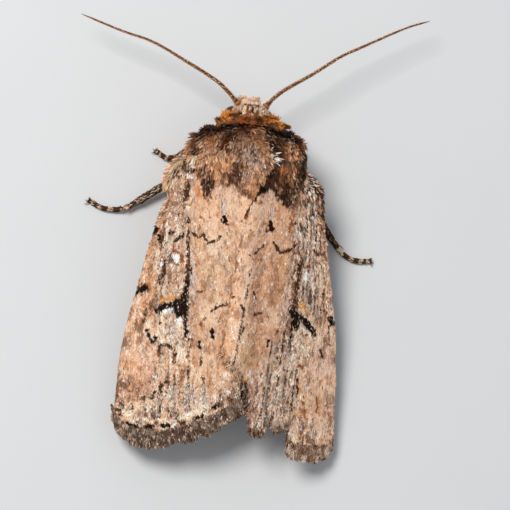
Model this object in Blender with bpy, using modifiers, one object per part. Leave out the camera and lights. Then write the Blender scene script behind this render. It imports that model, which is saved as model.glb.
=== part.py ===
"""An owlet moth at rest: wings closed like a low roof, right forewing over left and torn at its outer margin.

Metres, +Y towards the head, +X the moth's right, +Z up, feet on z = 0.
"""
import math

import bmesh
import bpy
import numpy as np
from mathutils import Vector

MM = 0.001

# Fits between neighbouring solids
GAP = 0.04 * MM
WING_THICK = 0.52 * MM

# The roof of the wings: a ridge along the midline and a slope that steepens towards the leading edge
RIDGE_FRONT_Q = 2.0
RIDGE_REAR_Q = 13.0
RIDGE_FRONT_Z = 5.05
RIDGE_REAR_Z = 3.95
SHOULDER_SLOPE = math.radians(14.0)
SHOULDER_ROUND = 0.7
EDGE_SLOPE = math.radians(20.0)
EDGE_REACH = 7.5
SLOPE_STEPS = 24

# How far each wing's inner margin lies past the ridge, at MID_Q and per mm towards the tail
MID_Q = 7.0
INNER_PAST = {"left": 0.89, "right": 0.69}
INNER_SPREAD = {"left": 0.12, "right": 0.08}
WING_SHIFT = {"left": 0.10, "right": -0.10}
SIDE_SIGN = {"left": -1.0, "right": 1.0}

# The right wing rides up over the left where the two lie on each other
LAP_RISE = 0.26
LAP_WIDTH = 1.1
LAP_START = 0.2

# Forewing plan: p runs out from the inner margin, q runs back from the wing root
COSTA = ((1.0, 5.45), (2.5, 5.9), (5.0, 6.7), (8.0, 7.7), (11.0, 8.4), (14.0, 8.85), (15.2, 9.0), (16.5, 9.0))
SHOULDER = {
    "left": ((-1.8, 3.6), (-1.1, 4.9), (-0.5, 5.35), (0.2, 5.55)),
    "right": ((-1.3, 3.3), (-0.8, 4.4), (-0.2, 5.1)),
}
INNER_EDGE = {
    "left": ((-2.0, 0.0), (0.0, 0.0)),
    "right": ((-1.2, 2.6), (0.0, 1.35), (0.9, 0.45), (1.6, 0.15), (2.0, 0.0)),
}
MARGIN = ((0.0, 12.7), (0.4, 13.25), (1.3, 14.0), (2.3, 14.7), (4.1, 15.55), (5.8, 16.05), (7.3, 16.1),
          (8.35, 15.7), (8.95, 14.9))
TEAR = ((0.0, 10.4), (0.9, 11.3), (1.75, 12.2), (2.35, 13.8), (2.6, 14.9), (3.4, 14.85), (3.55, 14.0), (3.9, 13.95),
        (4.1, 14.5), (4.7, 14.45), (4.85, 14.0), (5.15, 13.95), (5.3, 15.75))
TEAR_END_P = 5.3
ROOT_Q = {"left": -1.5, "right": -1.1}
ROOT_SWEEP = 1.3
WING_ROWS = 22
WING_COLUMN_PITCH = 0.75
COLUMN_MERGE = 0.12

# Hindwings, folded under the forewings
HIND_INNER = {"left": 0.35, "right": 2.1}
HIND_OUTER = ((0.8, 3.2), (3.0, 4.6), (6.0, 5.6), (9.0, 6.0), (13.0, 6.1))
HIND_MARGIN = ((0.3, 11.0), (2.0, 12.2), (3.5, 12.7), (5.0, 12.5), (6.1, 11.3))
HIND_ROOT_Q = 0.9
HIND_ROWS = 9
HIND_COLUMNS = 6

# Body sections along Y: y, centre z, half width, half height
THORAX = ((4.0, 3.05, 1.3, 1.1), (3.65, 3.2, 2.5, 1.85), (2.7, 3.3, 2.9, 2.35), (1.4, 3.35, 2.95, 2.66),
          (0.4, 3.3, 2.65, 2.5), (-0.35, 3.25, 2.0, 2.05), (-0.9, 3.35, 1.1, 1.2))
ABDOMEN = ((-1.25, 2.15, 1.25, 1.0), (-2.2, 2.0, 2.0, 1.25), (-4.5, 1.95, 2.15, 1.28), (-7.0, 1.85, 1.85, 1.1),
           (-9.0, 1.75, 1.35, 0.85), (-10.4, 1.7, 0.8, 0.55), (-11.1, 1.7, 0.3, 0.25))
HEAD = ((5.3, 2.45, 0.4, 0.4), (5.05, 2.55, 0.85, 0.85), (4.6, 2.6, 1.12, 1.12), (4.1, 2.65, 1.2, 1.1),
        (3.6, 2.7, 0.9, 0.9))
COLLAR = ((4.6, 2.9, 1.1, 0.6), (4.4, 2.9, 2.2, 1.02), (3.95, 2.95, 2.75, 1.35), (3.5, 3.0, 2.3, 1.25))
HEAD_ASIDE = 0.10
COLLAR_ASIDE = 0.28
BODY_SIDES = 14
ABDOMEN_SIDES = 12
SMALL_SIDES = 10

# Tegulae: the shield lobes over the wing roots; y, outward x, z, half width, half height
TEGULA = ((3.5, 2.45, 3.75, 0.45, 0.45), (3.0, 2.66, 3.95, 0.88, 0.85), (1.6, 2.7, 4.35, 1.0, 1.0),
          (0.2, 2.65, 4.3, 0.9, 0.8), (-0.8, 2.5, 4.45, 0.55, 0.42), (-1.3, 2.4, 4.5, 0.22, 0.2))
TEGULA_SIDES = 8

EYE_PLACE = (0.92, 4.55, 2.32)
EYE_RADIUS = (0.62, 0.62, 0.74)
EYE_SEGMENTS = 14
EYE_RINGS = 8

# Antennae from socket to tip, as centre points and thickness
ANTENNA = {
    "left": ((-0.74, 5.06, 3.02), (-1.50, 5.78, 3.10), (-2.35, 6.38, 3.15), (-4.25, 7.33, 3.10), (-6.20, 8.24, 2.95),
             (-8.17, 8.76, 2.75), (-10.55, 9.53, 2.45)),
    "right": ((0.92, 5.04, 3.02), (1.52, 5.73, 3.10), (2.20, 6.31, 3.15), (3.83, 7.44, 3.15), (5.40, 8.64, 3.05),
              (6.72, 9.41, 2.95), (9.42, 10.93, 2.70), (11.00, 11.62, 2.50)),
}
ANTENNA_RADIUS = 0.27
ANTENNA_TIP = 0.93

# Palps: up from under the face, in front of it
PALP = ((0.42, 4.75, 1.62, 0.26), (0.42, 5.20, 1.72, 0.34), (0.37, 5.42, 2.15, 0.34), (0.31, 5.42, 2.52, 0.27))

# Legs, each segment as centre points with radius; feet end in small flats at the floor
LEGS = {
    "left": {
        "fore": {
            "femur": ((-1.05, 3.15, 1.10, 0.36), (-1.75, 3.25, 0.88, 0.38), (-2.42, 3.00, 0.77, 0.33)),
            "tibia": ((-2.52, 2.92, 0.74, 0.30), (-3.05, 2.40, 0.62, 0.36), (-3.66, 1.95, 0.42, 0.28)),
            "tarsus": ((-3.78, 1.88, 0.36, 0.25), (-4.26, 1.78, 0.23, 0.25), (-4.65, 1.96, 0.20, 0.25),
                       (-5.04, 2.20, 0.18, 0.24)),
        },
        "mid": {
            "femur": ((-1.45, 1.20, 0.92, 0.38), (-2.45, 0.95, 0.98, 0.40), (-3.74, 0.41, 0.99, 0.33)),
            "tibia": ((-3.85, 0.35, 0.98, 0.30), (-4.68, -0.18, 0.82, 0.36), (-5.67, -0.90, 0.62, 0.34),
                      (-6.52, -1.53, 0.40, 0.27)),
            "tarsus": ((-6.62, -1.58, 0.36, 0.25), (-7.30, -1.69, 0.24, 0.25), (-8.07, -1.64, 0.20, 0.25),
                       (-8.90, -1.24, 0.18, 0.24)),
        },
        "hind": {
            "femur": ((-1.25, -0.35, 1.05, 0.36), (-2.35, -1.50, 0.62, 0.40), (-3.16, -2.93, 0.74, 0.33)),
            "tibia": ((-3.22, -3.05, 0.76, 0.30), (-3.75, -4.60, 0.70, 0.40), (-4.24, -6.48, 0.42, 0.28)),
            "tarsus": ((-4.27, -6.58, 0.38, 0.26), (-4.50, -7.60, 0.24, 0.25), (-4.62, -8.60, 0.20, 0.25),
                       (-4.60, -9.70, 0.18, 0.24)),
        },
    },
    "right": {
        "fore": {
            "femur": ((1.05, 3.15, 1.10, 0.36), (1.75, 3.20, 0.88, 0.38), (2.37, 2.84, 0.77, 0.33)),
            "tibia": ((2.45, 2.75, 0.74, 0.30), (2.85, 2.15, 0.62, 0.36), (3.27, 1.49, 0.42, 0.28)),
            "tarsus": ((3.32, 1.38, 0.36, 0.25), (3.55, 0.95, 0.23, 0.25), (3.85, 0.50, 0.20, 0.25),
                       (4.20, 0.10, 0.18, 0.24)),
        },
        "mid": {
            "femur": ((1.45, 1.10, 0.92, 0.38), (2.45, 0.75, 0.98, 0.40), (3.75, 0.16, 0.99, 0.33)),
            "tibia": ((3.85, 0.10, 0.98, 0.30), (4.75, -0.55, 0.84, 0.38), (5.75, -1.60, 0.64, 0.36),
                      (6.74, -2.76, 0.40, 0.27)),
            "tarsus": ((6.82, -2.83, 0.36, 0.25), (7.56, -3.20, 0.24, 0.25), (8.13, -3.29, 0.20, 0.25),
                       (8.95, -3.18, 0.18, 0.24)),
        },
        "hind": {
            "femur": ((1.25, -0.35, 1.05, 0.36), (2.35, -1.50, 0.62, 0.40), (3.16, -2.93, 0.74, 0.33)),
            "tibia": ((3.22, -3.05, 0.76, 0.30), (3.75, -4.60, 0.70, 0.40), (4.24, -6.48, 0.42, 0.28)),
            "tarsus": ((4.27, -6.58, 0.38, 0.26), (4.50, -7.60, 0.24, 0.25), (4.62, -8.60, 0.20, 0.25),
                       (4.60, -9.70, 0.18, 0.24)),
        },
    },
}
LEG_SIDES_RES = 1
FLOOR_BLOCK = (40.0, 40.0, 4.0)

# Where the middle of the finished object's box lies before it is centred
CENTRE_X = 0.23
CENTRE_Y = -2.17

COLOURS = {
    "wing": (0.52, 0.36, 0.24),
    "wool": (0.28, 0.17, 0.10),
    "orange": (0.40, 0.17, 0.05),
    "pale": (0.55, 0.42, 0.32),
    "black": (0.012, 0.010, 0.009),
    "leg": (0.12, 0.075, 0.05),
    "under": (0.42, 0.32, 0.24),
    "antenna": (0.25, 0.16, 0.10),
}


def clear_scene():
    for found in list(bpy.data.objects):
        bpy.data.objects.remove(found, do_unlink=True)


def new_collection(name, helper=False):
    made = bpy.data.collections.new(name)
    bpy.context.scene.collection.children.link(made)
    made.hide_render = helper
    return made


def new_material(name, colour, roughness):
    made = bpy.data.materials.new(name)
    made.use_nodes = True
    shader = made.node_tree.nodes["Principled BSDF"]
    shader.inputs["Base Color"].default_value = (*colour, 1.0)
    shader.inputs["Roughness"].default_value = roughness
    shader.inputs["Metallic"].default_value = 0.0
    made.diffuse_color = (*colour, 1.0)
    return made


def place(name, data, material=None, helper=False):
    made = bpy.data.objects.new(name, data)
    (CUTTERS if helper else MOTH).objects.link(made)
    if helper:
        made.hide_render = True
        made.display_type = "WIRE"
    if material:
        made.data.materials.append(material)
    return made


def mesh_of(name, build):
    """A mesh from a bmesh filled by build, with its normals facing out."""
    shape = bmesh.new()
    build(shape)
    bmesh.ops.recalc_face_normals(shape, faces=shape.faces)
    for face in shape.faces:
        face.smooth = True
    mesh = bpy.data.meshes.new(name)
    shape.to_mesh(mesh)
    shape.free()
    return mesh


def grid_faces(shape, rows):
    for row, following in zip(rows, rows[1:]):
        for k in range(len(row) - 1):
            shape.faces.new((row[k], row[k + 1], following[k + 1], following[k]))


def loft(name, sections, sides, material=None, grow=0.0, levels=1, helper=False):
    """A soft body through elliptical sections: (x, y, z, half width, half height), in millimetres."""

    def build(shape):
        rings = []
        for x, y, z, wide, high in sections:
            ring = []
            for k in range(sides):
                turn = 2 * math.pi * k / sides
                ring.append(shape.verts.new((
                    x * MM + (wide * MM + grow) * math.cos(turn),
                    y * MM,
                    z * MM + (high * MM + grow) * math.sin(turn),
                )))
            rings.append(ring + ring[:1])
        grid_faces(shape, rings)
        for ring, step in ((rings[0], 1.0), (rings[-1], -1.0)):
            shape.faces.new(ring[:-1])
            for vertex in ring[:-1]:
                vertex.co.y += step * grow

    made = place(name, mesh_of(name, build), material, helper)
    soften = made.modifiers.new("Soften", "SUBSURF")
    soften.levels = levels
    soften.render_levels = levels
    return made


def body_sections(rows, aside=0.0):
    return [(aside, y, z, wide, high) for y, z, wide, high in rows]


def subtract(target, cutter, label="Clear"):
    cut = target.modifiers.new(label, "BOOLEAN")
    cut.operation = "DIFFERENCE"
    cut.solver = "EXACT"
    cut.object = cutter
    cut.use_self = True
    return cut


def tube(name, points, radii, material=None, helper=False, smooth_handles=True):
    """A tapered tube along points, in millimetres, made a mesh with welded caps."""
    curve = bpy.data.curves.new(name, "CURVE")
    curve.dimensions = "3D"
    curve.bevel_depth = MM
    curve.bevel_resolution = LEG_SIDES_RES
    curve.use_fill_caps = True
    curve.resolution_u = 3
    spline = curve.splines.new("BEZIER")
    spline.bezier_points.add(len(points) - 1)
    for point, place_at, radius in zip(spline.bezier_points, points, radii):
        point.co = Vector(place_at) * MM
        point.radius = radius
        point.handle_left_type = "AUTO" if smooth_handles else "VECTOR"
        point.handle_right_type = point.handle_left_type
    rough = bpy.data.objects.new(name + "_curve", curve)
    CUTTERS.objects.link(rough)
    bpy.context.view_layer.update()
    graph = bpy.context.evaluated_depsgraph_get()
    mesh = bpy.data.meshes.new_from_object(rough.evaluated_get(graph))
    bpy.data.objects.remove(rough, do_unlink=True)
    shape = bmesh.new()
    shape.from_mesh(mesh)
    bmesh.ops.remove_doubles(shape, verts=shape.verts, dist=0.001 * MM)
    bmesh.ops.recalc_face_normals(shape, faces=shape.faces)
    for face in shape.faces:
        face.smooth = len(face.verts) <= 4
    shape.to_mesh(mesh)
    shape.free()
    mesh.materials.clear()
    return place(name, mesh, material, helper)


def along(table, at):
    """The value of a small table of (station, value) at a station."""
    return float(np.interp(at, [row[0] for row in table], [row[1] for row in table]))


def smooth_step(x):
    x = min(max(x, 0.0), 1.0)
    return x * x * (3 - 2 * x)


def ridge_height(q):
    return RIDGE_FRONT_Z + (RIDGE_REAR_Z - RIDGE_FRONT_Z) * (q - RIDGE_FRONT_Q) / (RIDGE_REAR_Q - RIDGE_FRONT_Q)


def slope_profile(u):
    """Sideways reach and drop of the roof at arc length u out from the ridge."""
    if u <= 0:
        return u, 0.0
    reach = drop = 0.0
    step = u / SLOPE_STEPS
    for k in range(SLOPE_STEPS):
        v = (k + 0.5) * step
        slope = SHOULDER_SLOPE * (1 - math.exp(-v / SHOULDER_ROUND)) + EDGE_SLOPE * (v / EDGE_REACH) ** 1.5
        reach += math.cos(slope) * step
        drop += math.sin(slope) * step
    return reach, drop


def right_top(u):
    """Height of the right wing's upper face against the ridge."""
    return LAP_RISE * (1 - smooth_step((u - LAP_START) / LAP_WIDTH)) - slope_profile(u)[1]


def left_top(u):
    """The left wing passes under the right one past the ridge, and rises to the open roof beyond it."""
    under = WING_THICK / MM + 3 * GAP / MM
    if u <= 0:
        return right_top(-u) - under
    dip = (under - LAP_RISE) * (1 - smooth_step((u - INNER_PAST["right"]) / LAP_WIDTH))
    return -dip - slope_profile(u)[1]


def wing_point(side, p, q, lower=0.0):
    """Where plan point (p, q) of a forewing lies on the closed roof, in metres."""
    u = p - INNER_PAST[side] - INNER_SPREAD[side] * (q - MID_Q)
    top = right_top(u) if side == "right" else left_top(u)
    x = SIDE_SIGN[side] * slope_profile(u)[0]
    return Vector((x * MM, -(q + WING_SHIFT[side]) * MM, (ridge_height(q) + top) * MM - lower))


def margin_q(side, p):
    whole = along(MARGIN, p)
    if side == "right" and p < TEAR_END_P:
        return min(whole, along(TEAR, p))
    return whole


def wing_columns(side):
    regular = np.arange(0.0, MARGIN[-1][0] + 0.01, WING_COLUMN_PITCH).tolist() + [MARGIN[-1][0]]
    if side == "left":
        return regular
    tear = [p for p, _ in TEAR]
    apart = [p for p in regular if min(abs(p - station) for station in tear) > COLUMN_MERGE]
    return sorted(tear + apart)


def forewing(side, material):
    columns = wing_columns(side)
    costa = SHOULDER[side] + COSTA

    def build(shape):
        rows = []
        for r in range(WING_ROWS + 1):
            row = []
            for p_end in columns:
                q_end = margin_q(side, p_end)
                share = p_end / along(COSTA, along(MARGIN, p_end))
                q_root = ROOT_Q[side] + ROOT_SWEEP * (1 - share)
                q = q_root + (q_end - q_root) * r / WING_ROWS
                inner = along(INNER_EDGE[side], q)
                row.append(shape.verts.new(wing_point(side, inner + share * (along(costa, q) - inner), q)))
            rows.append(row)
        grid_faces(shape, rows)

    return sheet_solid("forewing_" + side, build, material)


def hindwing(side, material):
    inner = HIND_INNER[side]

    def build(shape):
        rows = []
        for r in range(HIND_ROWS + 1):
            row = []
            for k in range(HIND_COLUMNS + 1):
                share = k / HIND_COLUMNS
                u_end = inner + share * (HIND_MARGIN[-1][0] - inner)
                q = HIND_ROOT_Q + (along(HIND_MARGIN, u_end) - HIND_ROOT_Q) * r / HIND_ROWS
                u = inner + share * (along(HIND_OUTER, q) - inner)
                p = u + INNER_PAST[side] + INNER_SPREAD[side] * (q - MID_Q)
                row.append(shape.verts.new(wing_point(side, p, q, WING_THICK + 2 * GAP)))
            rows.append(row)
        grid_faces(shape, rows)

    return sheet_solid("hindwing_" + side, build, material)


def sheet_solid(name, build, material):
    """A curved sheet given its thickness downwards."""
    made = place(name, mesh_of(name, build), material)
    if sum(face.normal.z for face in made.data.polygons) < 0:
        made.data.flip_normals()
    thick = made.modifiers.new("Thickness", "SOLIDIFY")
    thick.thickness = WING_THICK
    thick.offset = -1
    return made


def ellipsoid(name, centre, radii, material=None, grow=0.0, helper=False):
    def build(shape):
        bmesh.ops.create_uvsphere(shape, u_segments=EYE_SEGMENTS, v_segments=EYE_RINGS, radius=1.0)
        for vertex in shape.verts:
            for axis in range(3):
                vertex.co[axis] = centre[axis] * MM + vertex.co[axis] * (radii[axis] * MM + grow)

    return place(name, mesh_of(name, build), material, helper)


def block(name, low, high):
    def build(shape):
        bmesh.ops.create_cube(shape, size=1.0)
        for vertex in shape.verts:
            for axis in range(3):
                middle = (low[axis] + high[axis]) / 2
                vertex.co[axis] = (middle + vertex.co[axis] * (high[axis] - low[axis])) * MM

    return place(name, mesh_of(name, build), helper=True)


def body(materials):
    """Head, collar, thorax and abdomen, each cleared of the one behind it."""
    thorax = loft("thorax", body_sections(THORAX), BODY_SIDES, materials["wool"])
    thorax_cut = loft("thorax_clearance", body_sections(THORAX), BODY_SIDES, grow=GAP, helper=True)
    abdomen = loft("abdomen", body_sections(ABDOMEN), ABDOMEN_SIDES, materials["under"])
    collar = loft("collar", body_sections(COLLAR, COLLAR_ASIDE), BODY_SIDES, materials["orange"])
    collar_cut = loft("collar_clearance", body_sections(COLLAR, COLLAR_ASIDE), BODY_SIDES, grow=GAP, helper=True)
    head = loft("head", body_sections(HEAD, HEAD_ASIDE), SMALL_SIDES, materials["pale"])
    head_cut = loft("head_clearance", body_sections(HEAD, HEAD_ASIDE), SMALL_SIDES, grow=GAP, helper=True)
    subtract(abdomen, thorax_cut)
    subtract(collar, thorax_cut)
    subtract(head, thorax_cut)
    subtract(head, collar_cut)
    return thorax, thorax_cut, collar, collar_cut, head, head_cut


def tegula_sections(side):
    return [(SIDE_SIGN[side] * x, y, z, wide, high) for y, x, z, wide, high in TEGULA]


def side_parts(side, materials, thorax_cut, collar, collar_cut, head, head_cut, floor_cut):
    sign = SIDE_SIGN[side]
    tegula = loft("tegula_" + side, tegula_sections(side), TEGULA_SIDES, materials["orange"])
    tegula_cut = loft("tegula_clearance_" + side, tegula_sections(side), TEGULA_SIDES, grow=GAP, helper=True)
    subtract(tegula, thorax_cut)
    subtract(tegula, collar_cut)

    for wing in (forewing(side, materials["wing"]), hindwing(side, materials["under"])):
        subtract(wing, thorax_cut)
        subtract(wing, tegula_cut)

    eye_at = (HEAD_ASIDE + sign * EYE_PLACE[0], EYE_PLACE[1], EYE_PLACE[2])
    ellipsoid("eye_" + side, eye_at, EYE_RADIUS, materials["black"])
    eye_cut = ellipsoid("eye_clearance_" + side, eye_at, EYE_RADIUS, grow=GAP, helper=True)
    subtract(head, eye_cut)
    subtract(collar, eye_cut)

    points = ANTENNA[side]
    last = len(points) - 1
    radii = [ANTENNA_RADIUS * (1 - (1 - ANTENNA_TIP) * k / last) for k in range(last + 1)]
    antenna = tube("antenna_" + side, points, radii, materials["antenna"])
    subtract(antenna, head_cut)
    subtract(antenna, eye_cut)

    palp_points = [(HEAD_ASIDE + sign * x, y, z) for x, y, z, _ in PALP]
    palp = tube("palp_" + side, palp_points, [row[3] for row in PALP], materials["pale"])
    subtract(palp, head_cut)
    subtract(palp, eye_cut)

    for leg, segments in LEGS[side].items():
        for segment, rows in segments.items():
            limb = tube(f"{leg}_{segment}_{side}", [row[:3] for row in rows], [row[3] for row in rows],
                        materials["leg"])
            if segment == "femur":
                subtract(limb, thorax_cut)
            if segment == "tarsus":
                subtract(limb, floor_cut)


def main():
    materials = {
        "wing": new_material("wing_scales", COLOURS["wing"], 0.75),
        "wool": new_material("body_wool", COLOURS["wool"], 0.9),
        "orange": new_material("collar_scales", COLOURS["orange"], 0.85),
        "pale": new_material("face_scales", COLOURS["pale"], 0.85),
        "black": new_material("eye_lens", COLOURS["black"], 0.2),
        "leg": new_material("leg_scales", COLOURS["leg"], 0.8),
        "under": new_material("under_scales", COLOURS["under"], 0.85),
        "antenna": new_material("antenna_horn", COLOURS["antenna"], 0.7),
    }
    thorax, thorax_cut, collar, collar_cut, head, head_cut = body(materials)
    wide, long, deep = FLOOR_BLOCK
    floor_cut = block("floor_clearance", (-wide, -long, -deep), (wide, long, 0.0))
    for side in ("left", "right"):
        side_parts(side, materials, thorax_cut, collar, collar_cut, head, head_cut, floor_cut)
    for made in list(MOTH.objects) + list(CUTTERS.objects):
        made.location = (-CENTRE_X * MM, -CENTRE_Y * MM, 0.0)


clear_scene()
MOTH = new_collection("owlet_moth")
CUTTERS = new_collection("cutters", helper=True)
main()
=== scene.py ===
"""The looks of an owlet moth at rest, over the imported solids.

It has scaled wings, a woolly thorax, ringed feelers and banded legs.

Tables are in millimetres in the moth's own frame: +Y towards the head, +X its right, +Z up, feet on z = 0.
"""
import math

import bmesh
import bpy
import numpy as np
from mathutils import Matrix, Vector
from mathutils.bvhtree import BVHTree
from mathutils.kdtree import KDTree


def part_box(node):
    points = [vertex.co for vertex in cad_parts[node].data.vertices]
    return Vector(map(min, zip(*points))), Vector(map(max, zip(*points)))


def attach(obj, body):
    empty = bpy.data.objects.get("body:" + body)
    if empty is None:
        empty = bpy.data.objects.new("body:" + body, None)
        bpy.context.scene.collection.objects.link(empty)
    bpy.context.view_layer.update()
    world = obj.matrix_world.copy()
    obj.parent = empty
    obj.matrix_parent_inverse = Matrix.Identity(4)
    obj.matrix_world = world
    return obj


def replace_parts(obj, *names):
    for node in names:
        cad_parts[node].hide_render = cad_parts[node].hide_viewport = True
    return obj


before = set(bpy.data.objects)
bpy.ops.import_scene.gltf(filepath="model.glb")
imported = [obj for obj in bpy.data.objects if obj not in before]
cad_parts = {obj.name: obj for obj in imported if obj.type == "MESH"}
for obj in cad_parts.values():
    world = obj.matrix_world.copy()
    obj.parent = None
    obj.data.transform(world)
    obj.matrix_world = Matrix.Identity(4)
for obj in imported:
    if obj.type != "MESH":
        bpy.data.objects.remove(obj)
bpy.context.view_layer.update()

MM = 0.001
SIDES = ("left", "right")
SIDE_SIGN = {"left": -1.0, "right": 1.0}
DETAIL = 1.0

# ---------------------------------------------------------------- colours, as seen (0 to 255)
PALETTE = {
    "buff": (234, 186, 148),
    "pale_buff": (246, 207, 176),
    "blush": (255, 216, 184),
    "cream": (251, 231, 206),
    "white": (255, 252, 246),
    "warm": (222, 164, 122),
    "golden": (224, 162, 100),
    "orange": (212, 130, 70),
    "rust": (158, 90, 52),
    "grey": (182, 160, 150),
    "silver": (208, 192, 184),
    "lilac": (192, 166, 154),
    "pink": (240, 198, 178),
    "olive": (212, 180, 142),
    "khaki": (214, 184, 144),
    "plum": (100, 70, 54),
    "umber": (74, 46, 32),
    "brown": (146, 98, 68),
    "black": (24, 13, 8),
    "fringe": (124, 104, 90),
    "fringe_dark": (74, 58, 48),
    "fringe_pale": (206, 176, 154),
    "tan": (222, 162, 118),
    "tawny": (188, 118, 68),
    "ruff": (228, 146, 68),
    "ruff_dark": (166, 86, 32),
    "red_brown": (98, 46, 22),
    "under": (190, 164, 142),
    "under_dark": (140, 116, 100),
    "leg": (80, 54, 38),
    "ring": (255, 222, 184),
    "horn": (190, 124, 68),
    "horn_dark": (66, 38, 24),
}


def linear(colour):
    """Linear light from a colour written as it is seen."""
    share = np.asarray(colour, float) / 255
    return np.where(share <= 0.04045, share / 12.92, ((share + 0.055) / 1.055) ** 2.4)


TINT = {name: linear(colour) for name, colour in PALETTE.items()}

# ---------------------------------------------------------------- the closed wings, close to the solids
RIDGE_FRONT = (2.0, 5.05)
RIDGE_REAR = (13.0, 3.95)
SHOULDER_SLOPE = math.radians(14.0)
SHOULDER_ROUND = 0.7
EDGE_SLOPE = math.radians(20.0)
EDGE_REACH = 7.5
MID_Q = 7.0
INNER_PAST = {"left": 0.89, "right": 0.69}
INNER_SPREAD = {"left": 0.12, "right": 0.08}
WING_SHIFT = {"left": 0.10, "right": -0.10}
COSTA = ((1.0, 5.45), (2.5, 5.9), (5.0, 6.7), (8.0, 7.7), (11.0, 8.4), (14.0, 8.85), (15.2, 9.0), (16.5, 9.0))
SHOULDER = {
    "left": ((-1.8, 3.6), (-1.1, 4.9), (-0.5, 5.35), (0.2, 5.55)),
    "right": ((-1.3, 3.05), (-0.8, 4.05), (-0.2, 4.9)),
}
INNER_EDGE = {
    "left": ((-2.0, 0.0), (0.0, 0.0)),
    "right": ((-1.2, 2.6), (0.0, 1.35), (0.9, 0.45), (1.6, 0.15), (2.0, 0.0)),
}
MARGIN = {
    "left": ((0.0, 12.5), (0.4, 13.1), (1.3, 13.85), (2.3, 14.5), (4.1, 15.4), (5.8, 15.85), (7.2, 15.9), (8.1, 15.55),
             (8.6, 15.05), (8.95, 14.3)),
    "right": ((0.0, 12.7), (0.4, 13.25), (1.3, 14.0), (2.3, 14.7), (4.1, 15.55), (5.8, 16.0), (7.3, 16.05),
              (8.4, 15.85), (8.8, 15.4), (8.95, 15.0)),
}
COSTA_IN = {
    "left": ((0.0, 0.20), (0.8, 0.38), (1.5, 0.28), (2.5, 0.08), (3.5, 0.10), (5.0, 0.04), (7.0, 0.09), (10.0, 0.0),
             (12.0, 0.07), (14.0, 0.10)),
    "right": ((0.0, 0.12), (1.5, 0.28), (3.5, 0.22), (6.0, 0.12), (9.0, 0.05)),
}
TEAR = ((0.0, 10.4), (0.9, 11.3), (1.75, 12.2), (2.35, 13.8), (2.6, 14.9), (3.4, 14.85), (3.55, 14.0), (3.9, 13.95),
        (4.1, 14.5), (4.7, 14.45), (4.85, 14.0), (5.15, 13.95), (5.3, 15.75))
TEAR_END_P = 5.3
ROOT_Q = {"left": -1.5, "right": -1.1}
ROOT_SWEEP = 1.3
SEAM_DIP = 0.06            # how far the membrane lies under the solid's top: the depth of the scales
LAP_RISE = 0.18            # the right wing rides over the left along the ridge
LAP_TUCK = 0.20
LAP_UNDER = 0.15
MEMBRANE = 0.06            # thickness of the wing itself
WING_GRID = (150, 190)     # columns and rows of the forewing's sheet
LAST_P = 8.95              # the wing's tip, where margin and costa meet
FRINGE_BAND = {"left": 1.10, "right": 0.90}      # width of the grey-brown band of fringe scales
FRINGE_PAST = 0.28         # how far its scales reach past the membrane
TORN_PAST = 0.12
FRINGE_ROWS = (-0.85, -0.75, -0.65, -0.55, -0.45, -0.35, -0.25, -0.15, -0.06, 0.03)
SHOULDER_TO_Q = {"left": 0.30, "right": 1.2}     # how far back the brush over the costal root goes
RIBS = (3.2, 4.15, 5.0, 5.85, 6.6, 7.3)      # lanes of the main veins

HIND_INNER = {"left": 0.35, "right": 2.1}
HIND_OUTER = ((0.8, 3.2), (3.0, 4.6), (6.0, 5.6), (9.0, 6.0), (13.0, 6.1))
HIND_MARGIN = ((0.3, 11.0), (2.0, 12.2), (3.5, 12.7), (5.0, 12.5), (6.1, 11.3))
HIND_ROOT_Q = 0.9
HIND_BELOW = 0.72
HIND_THICK = 0.05
HIND_FRINGE = 0.45
HIND_PLEAT = 0.05
HIND_GRID = (60, 90)

EYE_PLACE = (0.92, 4.55, 2.32)
EYE_RADIUS = (0.62, 0.62, 0.74)
EYE_BACK = 0.13            # the lens sits a little deeper in the head than its solid
HEAD_ASIDE = 0.10
ANTENNA = {
    "left": ((-0.74, 5.06, 3.02), (-1.50, 5.78, 3.10), (-2.35, 6.38, 3.15), (-4.25, 7.33, 3.10), (-6.20, 8.24, 2.95),
             (-8.17, 8.76, 2.75), (-10.55, 9.53, 2.45)),
    "right": ((0.92, 5.04, 3.02), (1.52, 5.73, 3.10), (2.20, 6.31, 3.15), (3.83, 7.44, 3.15), (5.40, 8.64, 3.05),
              (6.72, 9.41, 2.95), (9.42, 10.93, 2.70), (11.00, 11.62, 2.50)),
}
ANTENNA_RINGS = 62
ANTENNA_SIDES = 10
ANTENNA_BASE_RADIUS = 0.118
ANTENNA_TIP_RADIUS = 0.045
HORN_STEPS = 7             # rings of points along a claw or spur, and points to a ring
HORN_SIDES = 7
TONGUE_STEPS = 90
TONGUE_SIDES = 10

# The coat. A ribbon's profile is (reach, width) from its root to its tip
SCALE = ((0.0, 0.0), (0.55, 1.0), (1.0, 0.6))
HAIR = ((0.0, 0.7), (0.35, 1.0), (0.7, 0.7), (1.0, 0.0))
BRISTLE = ((0.0, 1.0), (0.5, 0.8), (1.0, 0.0))
SCALE_PITCH = 0.0455       # distance between the roots of the wing's scales
SCALE_ROLL = {"left": 0.0, "right": 0.62}        # how far the scales beside the costa turn their faces upwards
PATCH = 0.003              # width of one scale's patch on the unwrap
ABOVE_GROUND = 0.01        # scales of the feet spread on the ground and never pass through it

# Cover of each part: strands to the square mm, width, lift (degrees), strands to a tuft, hold, spread of the way
COVER = {
    "thorax": (430, 0.056, 27, 13, 0.45, 0.45),
    "collar": (560, 0.066, 24, 8, 0.25, 0.25),
    "tegula": (480, 0.058, 24, 12, 0.4, 0.3),
    "head": (900, 0.055, 22, 9, 0.35, 0.3),
    "abdomen": (220, 0.06, 15, 8, 0.3, 0.2),
}

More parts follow.
